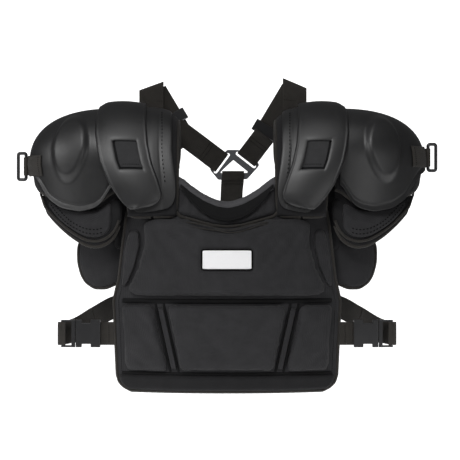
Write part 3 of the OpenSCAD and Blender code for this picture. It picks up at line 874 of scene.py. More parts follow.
def build_collar(cloth, dark_cloth, rim):
    """Padded neck roll with its band, both in a lighter copy of the cloth that paints the rim's highlight, the panel
    under it and the dark crescent sewn onto that panel.
    """
    x = np.linspace(-RIM_SPAN - 4, RIM_SPAN + 4, 120)
    path = np.stack([x, rim_y(x), rim_z(x) - ROLL], -1)
    uneven = 1 + 0.02 * np.sin(x * 0.31) + 0.015 * np.sin(x * 0.83 + 1)
    ends = np.clip((RIM_SPAN + 6 - np.abs(x)) / 8, 0.35, 1) ** 0.5
    roll = tube("collar_roll_pad", path, ROLL, (0, -1, 0), sides=28, wobble=uneven * ends)
    # The roll and its band take the rim cloth, a lighter copy of the cloth: painted highlight on the rim.
    finish_piece(roll, "chest", rim, ["collar_roll"])
    top = np.stack([x, rim_y(x) - 1.5, rim_z(x) - 4.2], -1)
    band = tube("collar_band", top, 4.6, (0, 0, 1), sides=16, flat=1.0, wobble=ends)
    finish_piece(band, "chest", rim)

    u0, v0 = squares(90, 24, 0.5)
    x = mix(-82, 82, u0)
    z = mix(table(np.abs(x), NECK_SEAM) + 1.5, rim_z(x) - 12, v0)
    base = mix(chest_inner(x, z) - 8, rim_y(x) + 2, v0)
    body = swell(u0, v0, 164, 24, 7)
    out = base - body * mix(13, 9, v0) + 0.6 * np.sin(x * 0.42) * np.sin(np.pi * v0)
    outer = np.stack([x, out, z], -1)
    inner = np.stack([x, base + 2 * body, z], -1)
    front = pillow("collar_panel", outer, inner, u0, v0)
    finish_piece(front, "chest", cloth, ["collar_front"])

    u0, v0 = squares(80, 20, 0.5)
    x = mix(-76, 76, u0)
    low = soft_table(np.abs(x), CRESCENT_LOW, 8)
    z = mix(np.minimum(low, rim_z(x) - 12), rim_z(x) - 9, v0)
    base = mix(chest_inner(x, z) - 8, rim_y(x) + 2, v0) - mix(13, 9, v0)
    body = swell(u0, v0, 152, 20, 7)
    outer = np.stack([x, base - 3.4 * body, z], -1)
    inner = np.stack([x, base + 3 * body, z], -1)
    crescent = pillow("collar_crescent", outer, inner, u0, v0)
    finish_piece(crescent, "chest", dark_cloth)
    x = np.linspace(-70, 70, 130)
    low = soft_table(np.abs(x), CRESCENT_LOW, 8)
    line = np.stack([x, chest_inner(x, low) - 22.5, low], -1)
    seam = tube("collar_piping", line, 1.5, (0, -1, 0), sides=10)
    finish_piece(seam, "chest", dark_cloth)


# ---------------------------------------------------------------- shoulder arches

ARCH_FOOT, ARCH_REACH = -20.0, 88.0
ARCH_RISE = node_high("yoke_pad_R")[2] - ARCH_FOOT - 11.2
T_UNDER, T_ARCH, PLATE_T = 12.4, 19.0, 3.0
YOKE_X, YOKE_ANGLES = (81, 162), (-1.5, 152)
ARCH_OUTER = [(-15, 148), (-11, 153), (-5, 160), (5, 168), (28, 183), (48, 192), (65, 199), (86, 204), (112, 208),
              (140, 208), (160, 206)]
ARCH_INNER = [(-15, 146), (-10, 121), (-4, 106), (2, 99), (12, 97), (32, 103), (62, 114), (93, 121), (134, 125),
              (160, 126)]
UNDER_INNER = [(-20, 79), (10, 80), (35, 83), (60, 87), (85, 90), (112, 90), (150, 92)]
ARCH_ENDS = (np.degrees(np.arcsin((-13 + 20) / (ARCH_RISE + 18))), 120.0)
WINDOW_U, WINDOW_V = (0.22, 0.68), (0.175, 0.32)


def spread(side):
    """The left shoulder hangs a little further out than the right one."""
    return 8.0 if side < 0 else -8.0


def on_arch(x, angle, t):
    """Points over the shoulder: a half ellipse in y and z, t millimetres outside its inner face, with the neck edge
    falling away near the top."""
    x, angle, t = np.broadcast_arrays(x, angle, t)
    a = np.radians(angle)
    fall = 13 * np.clip((118 - np.abs(x)) / 37, 0, 1) ** 2 * np.maximum(np.sin(a), 0) ** 6
    return np.stack([x, -(ARCH_REACH + t) * np.cos(a), ARCH_FOOT + (ARCH_RISE + t) * np.sin(a) - fall], -1)


def arch_surface(side, u, v, t, crown=5.0):
    """Arch plate: its side lines are read at each point's height, its section is crowned, and its outer edge turns
    down near the top."""
    angle = mix(ARCH_ENDS[0], ARCH_ENDS[1], v)
    z = np.minimum(160, ARCH_FOOT + (ARCH_RISE + T_ARCH) * np.sin(np.radians(angle)))
    taper = np.where(angle > 90, 10 * (angle - 90) / (ARCH_ENDS[1] - 90), 0)
    x = mix(soft_table(z, ARCH_INNER), soft_table(z, ARCH_OUTER), u) + spread(side) - taper * (2 * u - 1)
    pts = on_arch(side * x, angle, T_ARCH + crown * (1 - (2 * u - 1) ** 2) + t)
    pts[..., 2] -= 7 * np.clip((u - 0.76) / 0.24, 0, 1) ** 2 * np.maximum(np.sin(np.radians(angle)), 0) ** 6
    return pts


def with_line(values, extra):
    """Grid lines with the nearest ones moved onto the extra values."""
    values = values.copy()
    for e in extra:
        values[np.argmin(np.abs(values - e))] = e
    return values


def build_yokes(cloth, tape, thread, shell):
    """Padded yokes with bound edges, and the moulded under plates with their groove and stitching."""
    for tag, side in SIDES:
        u0, v0 = squares(40, 120)
        body = swell(u0, v0, 81, 440, 6)
        x, angle = side * mix(*YOKE_X, u0), mix(*YOKE_ANGLES, v0)
        bumps = ripples(x, angle * 3, 61 + side, 0.35, 40)
        pad = pillow("yoke_cover_" + tag, on_arch(x, angle, mix(5.5, 11.2 + bumps, body)),
                     on_arch(x, angle, mix(5.5, 0.4, body)), u0, v0)
        finish_piece(pad, "chest", cloth, ["yoke_pad_" + tag])

        def yoke_rim(u, v, side=side):
            return on_arch(side * mix(*YOKE_X, u), mix(*YOKE_ANGLES, v), 5.6)
        edge = even(border_path(yoke_rim, 12, 70), 520)
        binding = tube("yoke_binding_" + tag, edge, 3.2, (side, 0, 0), sides=10, closed=True, flat=1.0)
        finish_piece(binding, "chest", tape)

        u0, v0 = squares(30, 40)
        u, v = rounded(u0, v0, 8)
        gx, gz = mix(140, 186, u), mix(-78, 44, v)
        thick = swell(u0, v0, 46, 122, 6)
        gy = -49 + 0.16 * (gx - 150) + ripples(gx, gz, 81, 0.6, 40)
        gusset = pillow("armhole_gusset_" + tag, np.stack([side * gx, gy - 4 * thick, gz], -1),
                        np.stack([side * gx, gy + 4 * thick, gz], -1), u0, v0)
        finish_piece(gusset, "chest", cloth)

        def under(u, v, t, side=side):
            angle = mix(0.5 + 4 * (1 - u) ** 2, 138, v)
            z = np.minimum(150, ARCH_FOOT + (ARCH_RISE + T_UNDER) * np.sin(np.radians(angle)))
            x = side * mix(soft_table(z, UNDER_INNER), 152 + spread(side), u)
            groove = -0.5 * np.exp(-((u - 0.30) / 0.03) ** 2) + 1.1 * smooth((u - 0.28) / 0.2)
            edge = -1.3 * np.exp(-np.minimum(u, 0.5) / 0.03)
            return on_arch(x, angle, T_UNDER + t + groove + edge)
        u0, v0 = squares(70, 130, 0.4)
        u, v = rounded(u0, v0, 7)
        low = plate("under_shell_" + tag, under(u, v, PLATE_T), under(u, v, 0.4), u0, v0, bevel=1.2)
        finish_piece(low, "chest", shell, ["under_plate_" + tag])
        v = np.linspace(0.10, 0.52, 200)
        outward = on_arch(np.full(200, 0.0), mix(4, 138, v), 1) - on_arch(np.full(200, 0.0), mix(4, 138, v), 0)
        row = stitches("under_stitches_" + tag, under(np.full(200, 0.235), v, PLATE_T + 0.1), outward, 7.0, 3.4, 0.85)
        finish_piece(row, "chest", thread)


def build_arches(shell, webbing, thread, cloth):
    """Long moulded plates bent over the shoulders, each with a window that shows its webbing."""
    for tag, side in SIDES:
        body = "arch_" + tag
        lines_u = with_line(np.linspace(0, 1, 81), WINDOW_U)
        lines_v = with_line(np.linspace(0, 1, 161), WINDOW_V)
        u0, v0 = np.meshgrid(lines_u, lines_v)
        u, v = rounded(u0, v0, 16)
        blend = np.clip(np.minimum(np.minimum(u0, 1 - u0), np.minimum(v0, 1 - v0)) / 0.1, 0, 1)
        u, v = mix(u, u0, blend), mix(v, v0, blend)
        cell_u = (lines_u[1:] + lines_u[:-1]) / 2
        cell_v = (lines_v[1:] + lines_v[:-1]) / 2
        hole = np.logical_and.outer((cell_v > WINDOW_V[0]) & (cell_v < WINDOW_V[1]),
                                    (cell_u > WINDOW_U[0]) & (cell_u < WINDOW_U[1]))
        near_edge = np.minimum(np.minimum(u, 1 - u) * 82, np.minimum(v, 1 - v) * 330)
        bead = 0.9 * np.exp(-((near_edge - 2.5) / 1.6) ** 2) - 1.2 * np.exp(-near_edge / 1.2)
        du = np.maximum(np.maximum(WINDOW_U[0] - u, u - WINDOW_U[1]), 0) * 82
        dv = np.maximum(np.maximum(WINDOW_V[0] - v, v - WINDOW_V[1]), 0) * 330
        sink = -1.3 * np.exp(-np.hypot(du, dv) / 2.6)
        outer = arch_surface(side, u, v, PLATE_T + bead + sink)
        inner = arch_surface(side, u, v, 0.2 + sink)
        arch = plate("arch_shell_" + tag, outer, inner, u0, v0, hole, bevel=0.9)
        finish_piece(arch, body, shell, ["arch_plate_" + tag])

        u0, v0 = squares(30, 40, 0.2)
        au = mix(WINDOW_U[0], WINDOW_U[1] - 0.045, u0)
        av = mix(WINDOW_V[0] + 0.012, WINDOW_V[1] + 0.05, v0)
        strap = plate("window_webbing_" + tag, arch_surface(side, au, av, -0.9), arch_surface(side, au, av, -2.4),
                      u0, v0, bevel=0.5)
        finish_piece(strap, body, webbing, ["arch_strap_" + tag])
        u0, v0 = squares(24, 24, 0.2)
        au = mix(WINDOW_U[0] - 0.10, WINDOW_U[1] + 0.10, u0)
        av = mix(WINDOW_V[0] - 0.05, WINDOW_V[1] + 0.05, v0)
        back = plate("window_backing_" + tag, arch_surface(side, au, av, -2.7), arch_surface(side, au, av, -3.4),
                     u0, v0, bevel=0.2)
        finish_piece(back, body, cloth)
        a = np.linspace(0, 1, 60)
        along = mix(WINDOW_U[0] + 0.03, WINDOW_U[1] - 0.09, a)
        base = arch_surface(side, along, np.full(60, WINDOW_V[0] + 0.026), -0.7)
        row = stitches("window_stitches_" + tag, base, (0, -1, 0), 3.4, 2.2, 0.4)
        finish_piece(row, body, thread)


# ---------------------------------------------------------------- shoulder caps

CAP_X, CAP_Z, CAP_TOP, CAP_REACH, CAP_DEPTH, CAP_TAPER = 185.0, 62.0, 95.0, 145.0, 84.0, 0.16
SHELL_FOOT = [(0, 30), (3.7, 19), (6.2, 4), (12.8, -10), (24.6, -16), (40, -10), (52.8, 6), (60.8, 30), (70, 46),
              (90, 56), (120, 60), (150, 70)]
PAD_FOOT = [(-6, 22), (0, 18), (12, -2), (40, -2), (60, 12), (72, 18), (90, 30), (120, 42), (160, 50)]
ARM_FOOT = [(-6, -37), (-3, -53), (4.5, -68), (13, -74), (22, -72), (29, -65), (38, -54), (49, -38), (61, -20),
            (72, -3), (84, 10)]
DOME_AT, DOME_H = (255.0, 88.0), 7.0


def cap_point(side, turn, z, rise, t):
    """Cap surface: a tapering barrel below its shoulder line and a rounded dome above it."""
    turn, z, rise, t = np.broadcast_arrays(turn, z, rise, t)
    up = rise > 0
    a, b = np.radians(np.where(up, rise, 0)), np.radians(turn)
    k, ky = np.cos(a) ** 0.833, np.cos(a) ** 1.15
    rx = np.where(up, CAP_REACH + t, CAP_REACH + t - CAP_TAPER * (CAP_Z - z))
    zz = np.where(up, CAP_Z + (CAP_TOP + t) * np.sin(a) ** 0.833, z)
    return np.stack([side * (CAP_X + rx * k * np.sin(b)), -(CAP_DEPTH + t) * ky * np.cos(b), zz], -1)


def cap_grid(turns, foot, top_rise, nu, nv, crowd=0.5):
    """Turn, height and rise over a piece of the cap, from its foot line to its top."""
    u, v = squares(nu, nv, crowd)
    turn = mix(turns[0], turns[1], u)
    split = 1 / 3
    z = mix(soft_table(turn, foot), CAP_Z, np.minimum(1, v / split))
    rise = np.where(v > split, top_rise * (v - split) / (1 - split), 0)
    return u, v, turn, z, rise


def dome(x, z):
    """Raised egg on the cap: flat on top with a soft shoulder, narrower at its lower end."""
    lean = (x - DOME_AT[0]) + 0.10 * (z - DOME_AT[1])
    width = np.where(lean > 0, 34.0, 30.0) - np.where(z < DOME_AT[1], 0.10 * (DOME_AT[1] - z), 0)
    r = np.hypot(lean / width, (z - DOME_AT[1]) / 60)
    return smooth((1 - r) / 0.32)


def build_caps(dark_cloth, tape, shell, thread, webbing, hard):
    """Cap shells with dome and lip, the padding under them, tabs and arm loops."""
    for tag, side in SIDES:
        body = "cap_" + tag
        u, v, turn, z, rise = cap_grid((0, 148), SHELL_FOOT, 86, 120, 120)
        flat = cap_point(side, turn, z, rise, 0)
        lift = np.where(turn < 100, DOME_H * dome(np.abs(flat[..., 0]), flat[..., 2]), 0)
        foot_gap = np.where(v < 1 / 3, z - soft_table(turn, SHELL_FOOT), 40)
        lip = 2.0 * np.exp(-(foot_gap / 4.0) ** 2) - 0.8 * np.exp(-((foot_gap - 9) / 3.0) ** 2)
        outer = cap_point(side, turn, z, rise, lift + lip)
        inner = cap_point(side, turn, z, rise, lift + lip - 2.8)
        cap = plate("cap_shell_cover_" + tag, outer, inner, u, v, bevel=1.0)
        finish_piece(cap, body, shell, ["cap_shell_" + tag])

        u, v, turn, z, rise = cap_grid((-4, 158), PAD_FOOT, 78, 90, 70, 0.75)
        thick = swell(u, v, 380, 250, 6)
        pad = pillow("cap_padding_" + tag, cap_point(side, turn, z, rise, mix(-9, -3.8, thick)),
                     cap_point(side, turn, z, rise, mix(-9, -14.5, thick)), u, v)
        finish_piece(pad, body, dark_cloth, ["cap_pad_" + tag])
        turns = np.linspace(-4, 158, 200)
        edge = cap_point(side, turns, soft_table(turns, PAD_FOOT), 0, -8.5)
        binding = tube("cap_binding_" + tag, edge, 3.4, edge - np.array([side * CAP_X, 0, 0]), sides=10)
        finish_piece(binding, body, tape)

        refine_cad("cap_tab_" + tag, webbing, 0.6)
        low, high = node_low("arm_loop_" + tag), node_high("arm_loop_" + tag)
        mid, half = (low + high) / 2, (high - low) / 2 - 2.3
        k = np.linspace(0, 2 * np.pi, 241)[:-1]
        rim = np.stack([np.cos(k), np.zeros(240), np.sin(k)], -1) * 3.5
        corner = np.stack([np.sign(np.cos(k)) * (half[0] - 3.5), np.zeros(240),
                           np.sign(np.sin(k)) * (half[2] - 3.5)], -1)
        loop = tube("arm_loop_bar_" + tag, even(mid + corner + rim, 160), 2.8, (0, 1, 0), sides=16, closed=True)
        finish_piece(loop, "loop_" + tag, hard, ["arm_loop_" + tag])
        at = node_low("cap_tab_" + tag) + node_high("cap_tab_" + tag)
        height = at[2] / 2
        u0, v0 = squares(24, 20, 0.3)
        turn = mix(56, 92, u0)
        zz = mix(height - 17, height + 17, v0)
        rise = np.where(zz > CAP_Z, np.degrees(np.arcsin(np.clip((zz - CAP_Z) / CAP_TOP, 0, 1) ** 1.2)), 0)
        tab = plate("tab_patch_" + tag, cap_point(side, turn, zz, rise, 3.1), cap_point(side, turn, zz, rise, 1.0),
                    u0, v0, bevel=0.6)
        finish_piece(tab, body, webbing)
        zz = np.linspace(height - 15, height + 15, 40)
        rise = np.where(zz > CAP_Z, np.degrees(np.arcsin(np.clip((zz - CAP_Z) / CAP_TOP, 0, 1) ** 1.2)), 0)
        base = cap_point(side, np.full(40, 59.0), zz, rise, 3.3)
        row = stitches("tab_stitches_" + tag, base, (side * 0.5, -0.85, 0),
                       3.2, 2.2, 0.4)
        finish_piece(row, body, thread)


def arm_top(turn):
    """Upper edge of the arm pad, just under the cap padding."""
    return soft_table(turn, PAD_FOOT) - 7


def arm_flare(turn, z):
    """The arm pad stands further out towards its lower end."""
    return -17 + 12 * np.clip((arm_top(turn) - z) / 24, 0, 1)


def build_arm_pads(cloth, dark_cloth, tape, thread):
    """Upper-arm pads: bound outer layer, raised inner panel and its stitched lines."""
    for tag, side in SIDES:
        body = "armguard_" + tag
        u0, v0 = squares(90, 40)
        u, v = rounded(u0, v0, 5)
        turn = mix(-6, 82, u)
        z = mix(soft_table(turn, ARM_FOOT), arm_top(turn), v)
        thick = swell(u0, v0, 190, 70, 6)
        flare = arm_flare(turn, z)
        pad = pillow("arm_pad_cover_" + tag, cap_point(side, turn, z, 0, flare + mix(-5, 0, thick)),
                     cap_point(side, turn, z, 0, flare - mix(5, 10, thick)), u0, v0)
        finish_piece(pad, body, dark_cloth, ["arm_pad_" + tag])
        turns = np.linspace(-4, 80, 200)
        low = soft_table(turns, ARM_FOOT) + 8 * np.exp(-(turns + 4) / 2.5)
        for layer, (offset, radius, drop) in enumerate(((-3.0, 3.0, 0.0), (-8.5, 3.0, 0.5), (1.0, 2.2, 9.0))):
            edge = cap_point(side, turns, low + drop, 0, arm_flare(turns, low) + offset)
            outwards = edge - np.array([side * CAP_X, 0, 0])
            rib_line = tube(f"arm_binding_{layer}_" + tag, edge, radius, outwards, sides=10)
            finish_piece(rib_line, body, tape)
        u0, v0 = squares(60, 26)
        u, v = rounded(u0, v0, 6)
        turn = mix(2, 62, u)
        z = mix(soft_table(turn, ARM_FOOT) + 15, arm_top(turn) - 3, v)
        thick = swell(u0, v0, 120, 40, 5)
        panel = pillow("arm_panel_cover_" + tag, cap_point(side, turn, z, 0, arm_flare(turn, z) + 0.4 + 4.0 * thick),
                       cap_point(side, turn, z, 0, arm_flare(turn, z) - 0.4), u0, v0)
        finish_piece(panel, body, cloth, ["arm_panel_" + tag])
        u0, v0 = squares(80, 20, 0.2)
        turn = mix(-4, 80, u0)
        z = mix(arm_top(turn) - 7, soft_table(turn, PAD_FOOT) + 9, v0)
        lap = np.where(z < arm_top(turn), arm_flare(turn, z) + 1.0, -15.6)
        web = plate("arm_hinge_web_" + tag, cap_point(side, turn, z, 0, lap), cap_point(side, turn, z, 0, lap - 0.9),
                    u0, v0, bevel=0.3)
        finish_part(web, dark_cloth)
        top, low = (side * 0.245, -0.07, 0.004), (side * 0.245, -0.07, -0.012)
        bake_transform(web)
        t = np.linspace(8, 58, 160)
        rows = []
        for up in (21, 28):
            z = soft_table(t, ARM_FOOT) + up
            p = cap_point(side, t, z, 0, arm_flare(t, z) + 4.6)
            rows.append(stitches("row", p, p - np.array([side * CAP_X, 0, 0]), 6.0, 3.2, 0.8))
        finish_piece(join("arm_stitches_" + tag, rows), body, thread)


# ---------------------------------------------------------------- wings

WING_EDGE = [(-142, 222), (-136, 233), (-120, 241), (-100, 246), (-60, 247)]
WING_INNER = [(-142, 198), (-136, 180), (-120, 168), (-60, 168)]


def build_wings(cloth, tape):
    """Rib wings: rounded padded flaps with a bound edge."""
    for tag, side in SIDES:
        body = "wing_" + tag
        y0 = node_low("wing_pad_" + tag)[1]

        def wing(u, v, t, side=side, y0=y0):
            z = mix(-142, -60, v)
            x = mix(soft_table(z, WING_INNER, 5), soft_table(z, WING_EDGE, 5), u)
            x, z, t = np.broadcast_arrays(side * x, z, t)
            return np.stack([x, y0 + 12 - t + 10 * u ** 2, z], -1)
        u0, v0 = squares(60, 60)
        u, v = rounded(u0, v0, 5)
        body_t = swell(u0, v0, 78, 82, 8)
        x = side * mix(168, 246, u)
        z = mix(-142, -60, v)
        face = 12 + 1.4 * np.sin(np.pi * u) * np.sin(np.pi * v) + ripples(x, z, 71 + side, 0.5, 42)
        pad = pillow("wing_cover_" + tag, wing(u, v, mix(6, face, body_t)), wing(u, v, mix(6, 0, body_t)), u0, v0)
        finish_piece(settle(pad, 4.5, 3.5, 2.5), body, cloth, ["wing_pad_" + tag])
        edge = even(border_path(lambda a, b: wing(a, b, np.full(np.shape(a), 6.0)), 5, 60), 260)
        binding = tube("wing_binding_" + tag, edge, 2.6, (0, -1, 0), sides=10, closed=True, flat=1.4)
        finish_piece(binding, body, tape)


# ---------------------------------------------------------------- belt, buckles and harness

WEB_W, WEB_T = 38.0, 2.2
BELT_Y = -57.0
CLIP_BAR_X = 268.0
BELT_ROUTE = [(244, -34, -207), (222, -10, -193), (190, 30, -176), (140, 72, -164), (70, 98, -158), (0, 104, -157)]
TAB_TOP = {-1: (-128.7, 198.2, 0.362), 1: (114.9, 203.0, -0.426)}
STRAP_START = {-1: (-121, 67.6, 190), 1: (110, 67.6, 193)}
STRAP_AIM = {-1: (-80, 78.6, 121.3), 1: (62, 82.5, 113)}
RING_Y, RING_T = 100.0, 4.0
SLOT_AT = {-1: (-9.1, 68.6), 1: (32.1, 74.2)}
RING_HEAD = {-1: (-84, 74, 124), 1: (61, 78.3, 111.5)}
RING_MID = {-1: (-50, 80.5), 1: (48.5, 85.5)}
SLOT_R, SLOT_HALF = 3.2, 17.7


def refine_cad(node, material, width, segments=3):
    """A CAD piece keeps its shape: its loose triangles are welded, its edges rounded and its finish set."""
    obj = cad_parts[node]
    obj.data.materials.clear()
    obj.data.materials.append(material)
    weld = obj.modifiers.new("weld", "WELD")
    weld.merge_threshold = 0.00002
    soften(obj, width, segments)
    return obj


def build_belt(webbing, hard, thread):
    """Waist belt: stubs, buckles, folded ends that follow the clips, and the belt round the back."""
    for tag, side in SIDES:
        stub = ribbon("belt_stub_web_" + tag, [(side * 178, BELT_Y - 3, BELT_Z), (side * 190, BELT_Y - 0.5, BELT_Z),
                                               (side * 213, BELT_Y, BELT_Z)], (0, 0, 1), WEB_W, WEB_T, 20)
        finish_piece(stub, "chest", webbing, ["belt_stub_" + tag])
        refine_cad("buckle_socket_" + tag, hard, 1.6)
        refine_cad("buckle_clip_" + tag, hard, 1.0)
        r = 4.6
        a = np.radians(np.linspace(-100, 95, 14))
        turn = [(side * (CLIP_BAR_X + 4 + r * 1.2 * np.cos(k)), BELT_Y + 2 + r * 1.25 * np.sin(k), BELT_Z)
                for k in a]
        lead = [(side * (CLIP_BAR_X - 2.5), BELT_Y - r - 1.2, BELT_Z)]
        tail = [(side * 266, -44, BELT_Z + 0.6), (side * 256, -41, -212.5), (side * 244, -34, -207),
                (side * 222, -10, -193)]
        fold = ribbon("belt_end_web_" + tag, lead + turn + tail, (0, 0, 1), WEB_W, WEB_T, 90)
        obj = finish_part(fold, webbing, ["belt_fold_" + tag])
        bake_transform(obj)
        x = np.linspace(-15, 15, 30)
        base = np.stack([np.full(30, side * 194.0), np.full(30, BELT_Y - 1.4), BELT_Z + x], -1)
        row = stitches("belt_stitches_" + tag, base, (0, -1, 0), 3.0, 2.0, 0.4)
        finish_piece(row, "chest", thread)
    half = [tuple(p) for p in BELT_ROUTE[1:]]
    mirrored = [(-x, y, z) for x, y, z in half[::-1][1:]]
    back = ribbon("back_belt_web", half + mirrored, (0, 0, 1), WEB_W, WEB_T, 120)
    finish_piece(back, "chest", webbing, ["back_belt"])


def finish_part(obj, material, replaces=()):
    """Material and replaced nodes for a piece that is attached to no body."""
    obj.data.materials.clear()
    obj.data.materials.append(material)
    if replaces:
        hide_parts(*replaces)
    return obj


def rounded_outline(centres, radius, count=200):
    """Closed outline round a convex set of points at one distance, as evenly spaced x and z."""
    a = np.linspace(0, 2 * np.pi, 721)[:-1]
    ways = np.stack([np.cos(a), np.sin(a)], -1)
    centres = np.array(centres, float)
    points = centres[np.argmax(ways @ centres.T, axis=1)] + radius * ways
    return even(np.c_[points, np.zeros(len(points))], count, True)[:, :2]


def build_ring(material):
    """Triangular ring cut from a flat shape: outer frame, central hole and two strap slots, with rounded rims."""
    outer = rounded_outline([(2, 86.5), (18, 86.5), (49.5, 65.5), (32, 46), (-13, 45), (-24, 58.5)], 5)
    cuts = [rounded_outline([(10.6, 72), (-9.6, 53), (33.5, 53.6)], 1.5, 120)]
    for side, (cx, cz) in SLOT_AT.items():
        head = RING_HEAD[side]
        d = unit(np.array([cx - head[0], cz - head[2]]))
        across = np.array([-d[1], d[0]])
        cuts.append(rounded_outline([np.array([cx, cz]) + across * SLOT_HALF * k for k in (-1, 1)], SLOT_R, 120))
    data = bpy.data.curves.new("ring_outline", "CURVE")
    data.dimensions = "2D"
    data.fill_mode = "BOTH"
    data.extrude = (RING_T / 2 - 0.8) * MM
    data.bevel_depth = 0.8 * MM
    data.bevel_resolution = 3
    data.offset = -0.8 * MM
    for outline in [outer] + cuts:
        spline = data.splines.new("POLY")
        spline.points.add(len(outline) - 1)
        flat = np.c_[outline * MM, np.zeros(len(outline)), np.ones(len(outline))]
        spline.points.foreach_set("co", flat.ravel())
        spline.use_cyclic_u = True
    shape = bpy.data.objects.new("ring_outline", data)
    bpy.context.scene.collection.objects.link(shape)
    bpy.context.view_layer.update()
    mesh = bpy.data.meshes.new_from_object(shape.evaluated_get(bpy.context.evaluated_depsgraph_get()))
    bpy.data.objects.remove(shape)
    bpy.data.curves.remove(data)
    co = np.empty(len(mesh.vertices) * 3)
    mesh.vertices.foreach_get("co", co)
    co = co.reshape(-1, 3)
    mesh.vertices.foreach_set("co", np.stack([co[:, 0], RING_Y * MM - co[:, 2], co[:, 1]], -1).ravel())
    mesh.name = "ring_frame"
    ring = bpy.data.objects.new("ring_frame", mesh)
    bpy.context.scene.collection.objects.link(ring)
    turn_outwards(ring)
    finish_piece(ring, "chest", material, ["ring"])


def build_harness(webbing, hard, ring_grey, thread, bar_grey):
    """Elastic tabs, sliders, shoulder straps, triangular ring and the strap down the back."""
    for tag, side in SIDES:
        x, z, lean = TAB_TOP[side]
        route = [(x, 69, 122), (x, 66, z - 40), (x, 63.8, z - 14), (x, 63.8, z - 5), (x, 65, z - 1.2), (x, 67.6, z),
                 (x, 70, z - 1.2), (x, 71.3, z - 5), (x, 71.4, z - 11)]
        across = unit(np.array([1, 0, lean]))
        tab = ribbon("harness_tab_web_" + tag, route, across, WEB_W + 6, WEB_T, 80, slanted=True)
        finish_piece(tab, "chest", webbing, ["harness_tab_" + tag])
        line = np.linspace(-19, 19, 40)
        for low in (178 if side < 0 else 180, 171.5 if side < 0 else 173.5):
            p = np.stack([x + line, np.full(40, 64.3), low + line * lean * 0.25], -1)
            row = stitches("tab_row_" + tag, p, (0, -1, 0), 3.0, 2.0, 0.4)
            finish_piece(row, "chest", thread)

        start, aim = np.array(STRAP_START[side], float), np.array(STRAP_AIM[side], float)
        d = unit(aim - start)
        across = unit(np.cross(d, (0, 1, 0)))
        path = [start, mix(start, aim, 0.5), aim] + ([(-66.5, 93, 100.5)] if side < 0 else [])
        strap = ribbon("shoulder_strap_web_" + tag, path, across, WEB_W, WEB_T, 60)
        finish_piece(strap, "chest", webbing, ["shoulder_strap_" + tag])
        refine_cad("strap_slider_" + tag, hard, 1.0)
        at = mix(start, aim, 0.7 if side < 0 else 0.88)
        out = np.cross(across, d) * (1 if np.cross(across, d)[1] < 0 else -1)
        ends = [at + d * 9 + out * 4.0 + across * k for k in (-20, 0, 20)]
        bar = tube("slider_bar_" + tag, even(np.array(ends), 24, False), 0.95, d, sides=12)
        finish_piece(bar, "slider_" + tag, bar_grey)

        head = np.array(RING_HEAD[side], float)
        cx, cz = SLOT_AT[side]
        d2 = unit(np.array([cx - head[0], cz - head[2]]))
        my = RING_MID[side]
        turn = [(13, -4.6), (4.4, -3.8), (1.7, -2.6), (0.9, 0), (1.7, 2.6), (4.4, 3.8), (14, 4.2), (26, 3.8)]
        lead = head + np.array([-d2[0] * 5, -2.6, -d2[1] * 5])
        path = [lead, head - (0, 1.2, 0), (my[0], my[1], head[2] + d2[1] * (my[0] - head[0]) / d2[0])]
        path += [(cx - d2[0] * t, RING_Y + y, cz - d2[1] * t) for t, y in turn]
        across = np.array([-d2[1], 0, d2[0]])
        strap = ribbon("ring_strap_web_" + tag, path, across, WEB_W, WEB_T, 120)
        finish_piece(strap, "chest", webbing, ["ring_strap_" + tag])
        line = np.linspace(-16, 16, 30)[:, None]
        for t in (30, 36):
            k = t / np.hypot(cx - head[0], cz - head[2])
            base = np.array([cx - d2[0] * t, mix(RING_Y - 4.6, head[1], k) - 2.9, cz - d2[1] * t])
            row = stitches("ring_row_" + tag, base + across * line, (0, -1, 0), 3.0, 2.0, 0.4)
            finish_piece(row, "chest", thread)
    build_ring(ring_grey)
    path = [(8, 104.6, 24), (9, 104.2, 40), (10, 103.8, 48), (10.2, 102.6, 52.8), (10.2, 100, 54.3),
            (10.2, 97.4, 52.8), (10.2, 96.2, 48), (9.5, 96.6, 36), (8, 99.4, 22), (7, 106, -4),
            (6, 110, -30), (5, 112, -90),
            (5, 111, -138), (5, 111, -172)]
    back = ribbon("back_strap_web", path, (1, 0, 0), WEB_W, WEB_T, 200)
    finish_piece(back, "chest", webbing, ["back_strap"])
    line = np.linspace(-16, 16, 30)
    for z in (38, 33):
        row = stitches("back_row", np.stack([9.6 + line, np.full(30, 94.9), np.full(30, float(z))], -1), (0, -1, 0),
                       3.0, 2.0, 0.4)
        finish_piece(row, "chest", thread)


# ---------------------------------------------------------------- stage


def build_stage(white):
    """Pale floor that curves up into a backdrop; the soft lights and the long lens from the front are set by the
    stage operator.
    """
    low = CAD_BOX[0][2] / MM - 60
    s = np.linspace(0, 1, 60)
    near, bend, curve, wall = -600, 3900, 900, 1500      # floor from near to bend, then up into a wall
    y = np.concatenate([np.linspace(near, bend, 20), bend + curve * np.sin(s[1:] * np.pi / 2),
                        np.full(10, float(bend + curve))])
    z = np.concatenate([np.full(20, low), low + curve * (1 - np.cos(s[1:] * np.pi / 2)),
                        np.linspace(low + curve + 60, low + wall, 10)])
    x = np.linspace(-1300, 1300, 12)
    pts = np.stack([np.broadcast_to(x, (len(y), 12)), np.broadcast_to(y[:, None], (len(y), 12)),
                    np.broadcast_to(z[:, None], (len(z), 12))], -1)
    sweep = mesh_object("studio_sweep", pts.reshape(-1, 3), quads(grid_numbers(len(y), 12)).reshape(-1, 4))
    material, _, shader = new_material("studio_white")
    shader.inputs["Base Color"].default_value = (*white, 1)
    shader.inputs["Roughness"].default_value = 0.9
    shader.inputs["Emission Color"].default_value = (1, 1, 1, 1)
    shader.inputs["Emission Strength"].default_value = 1.0
    sweep.data.materials.append(material)


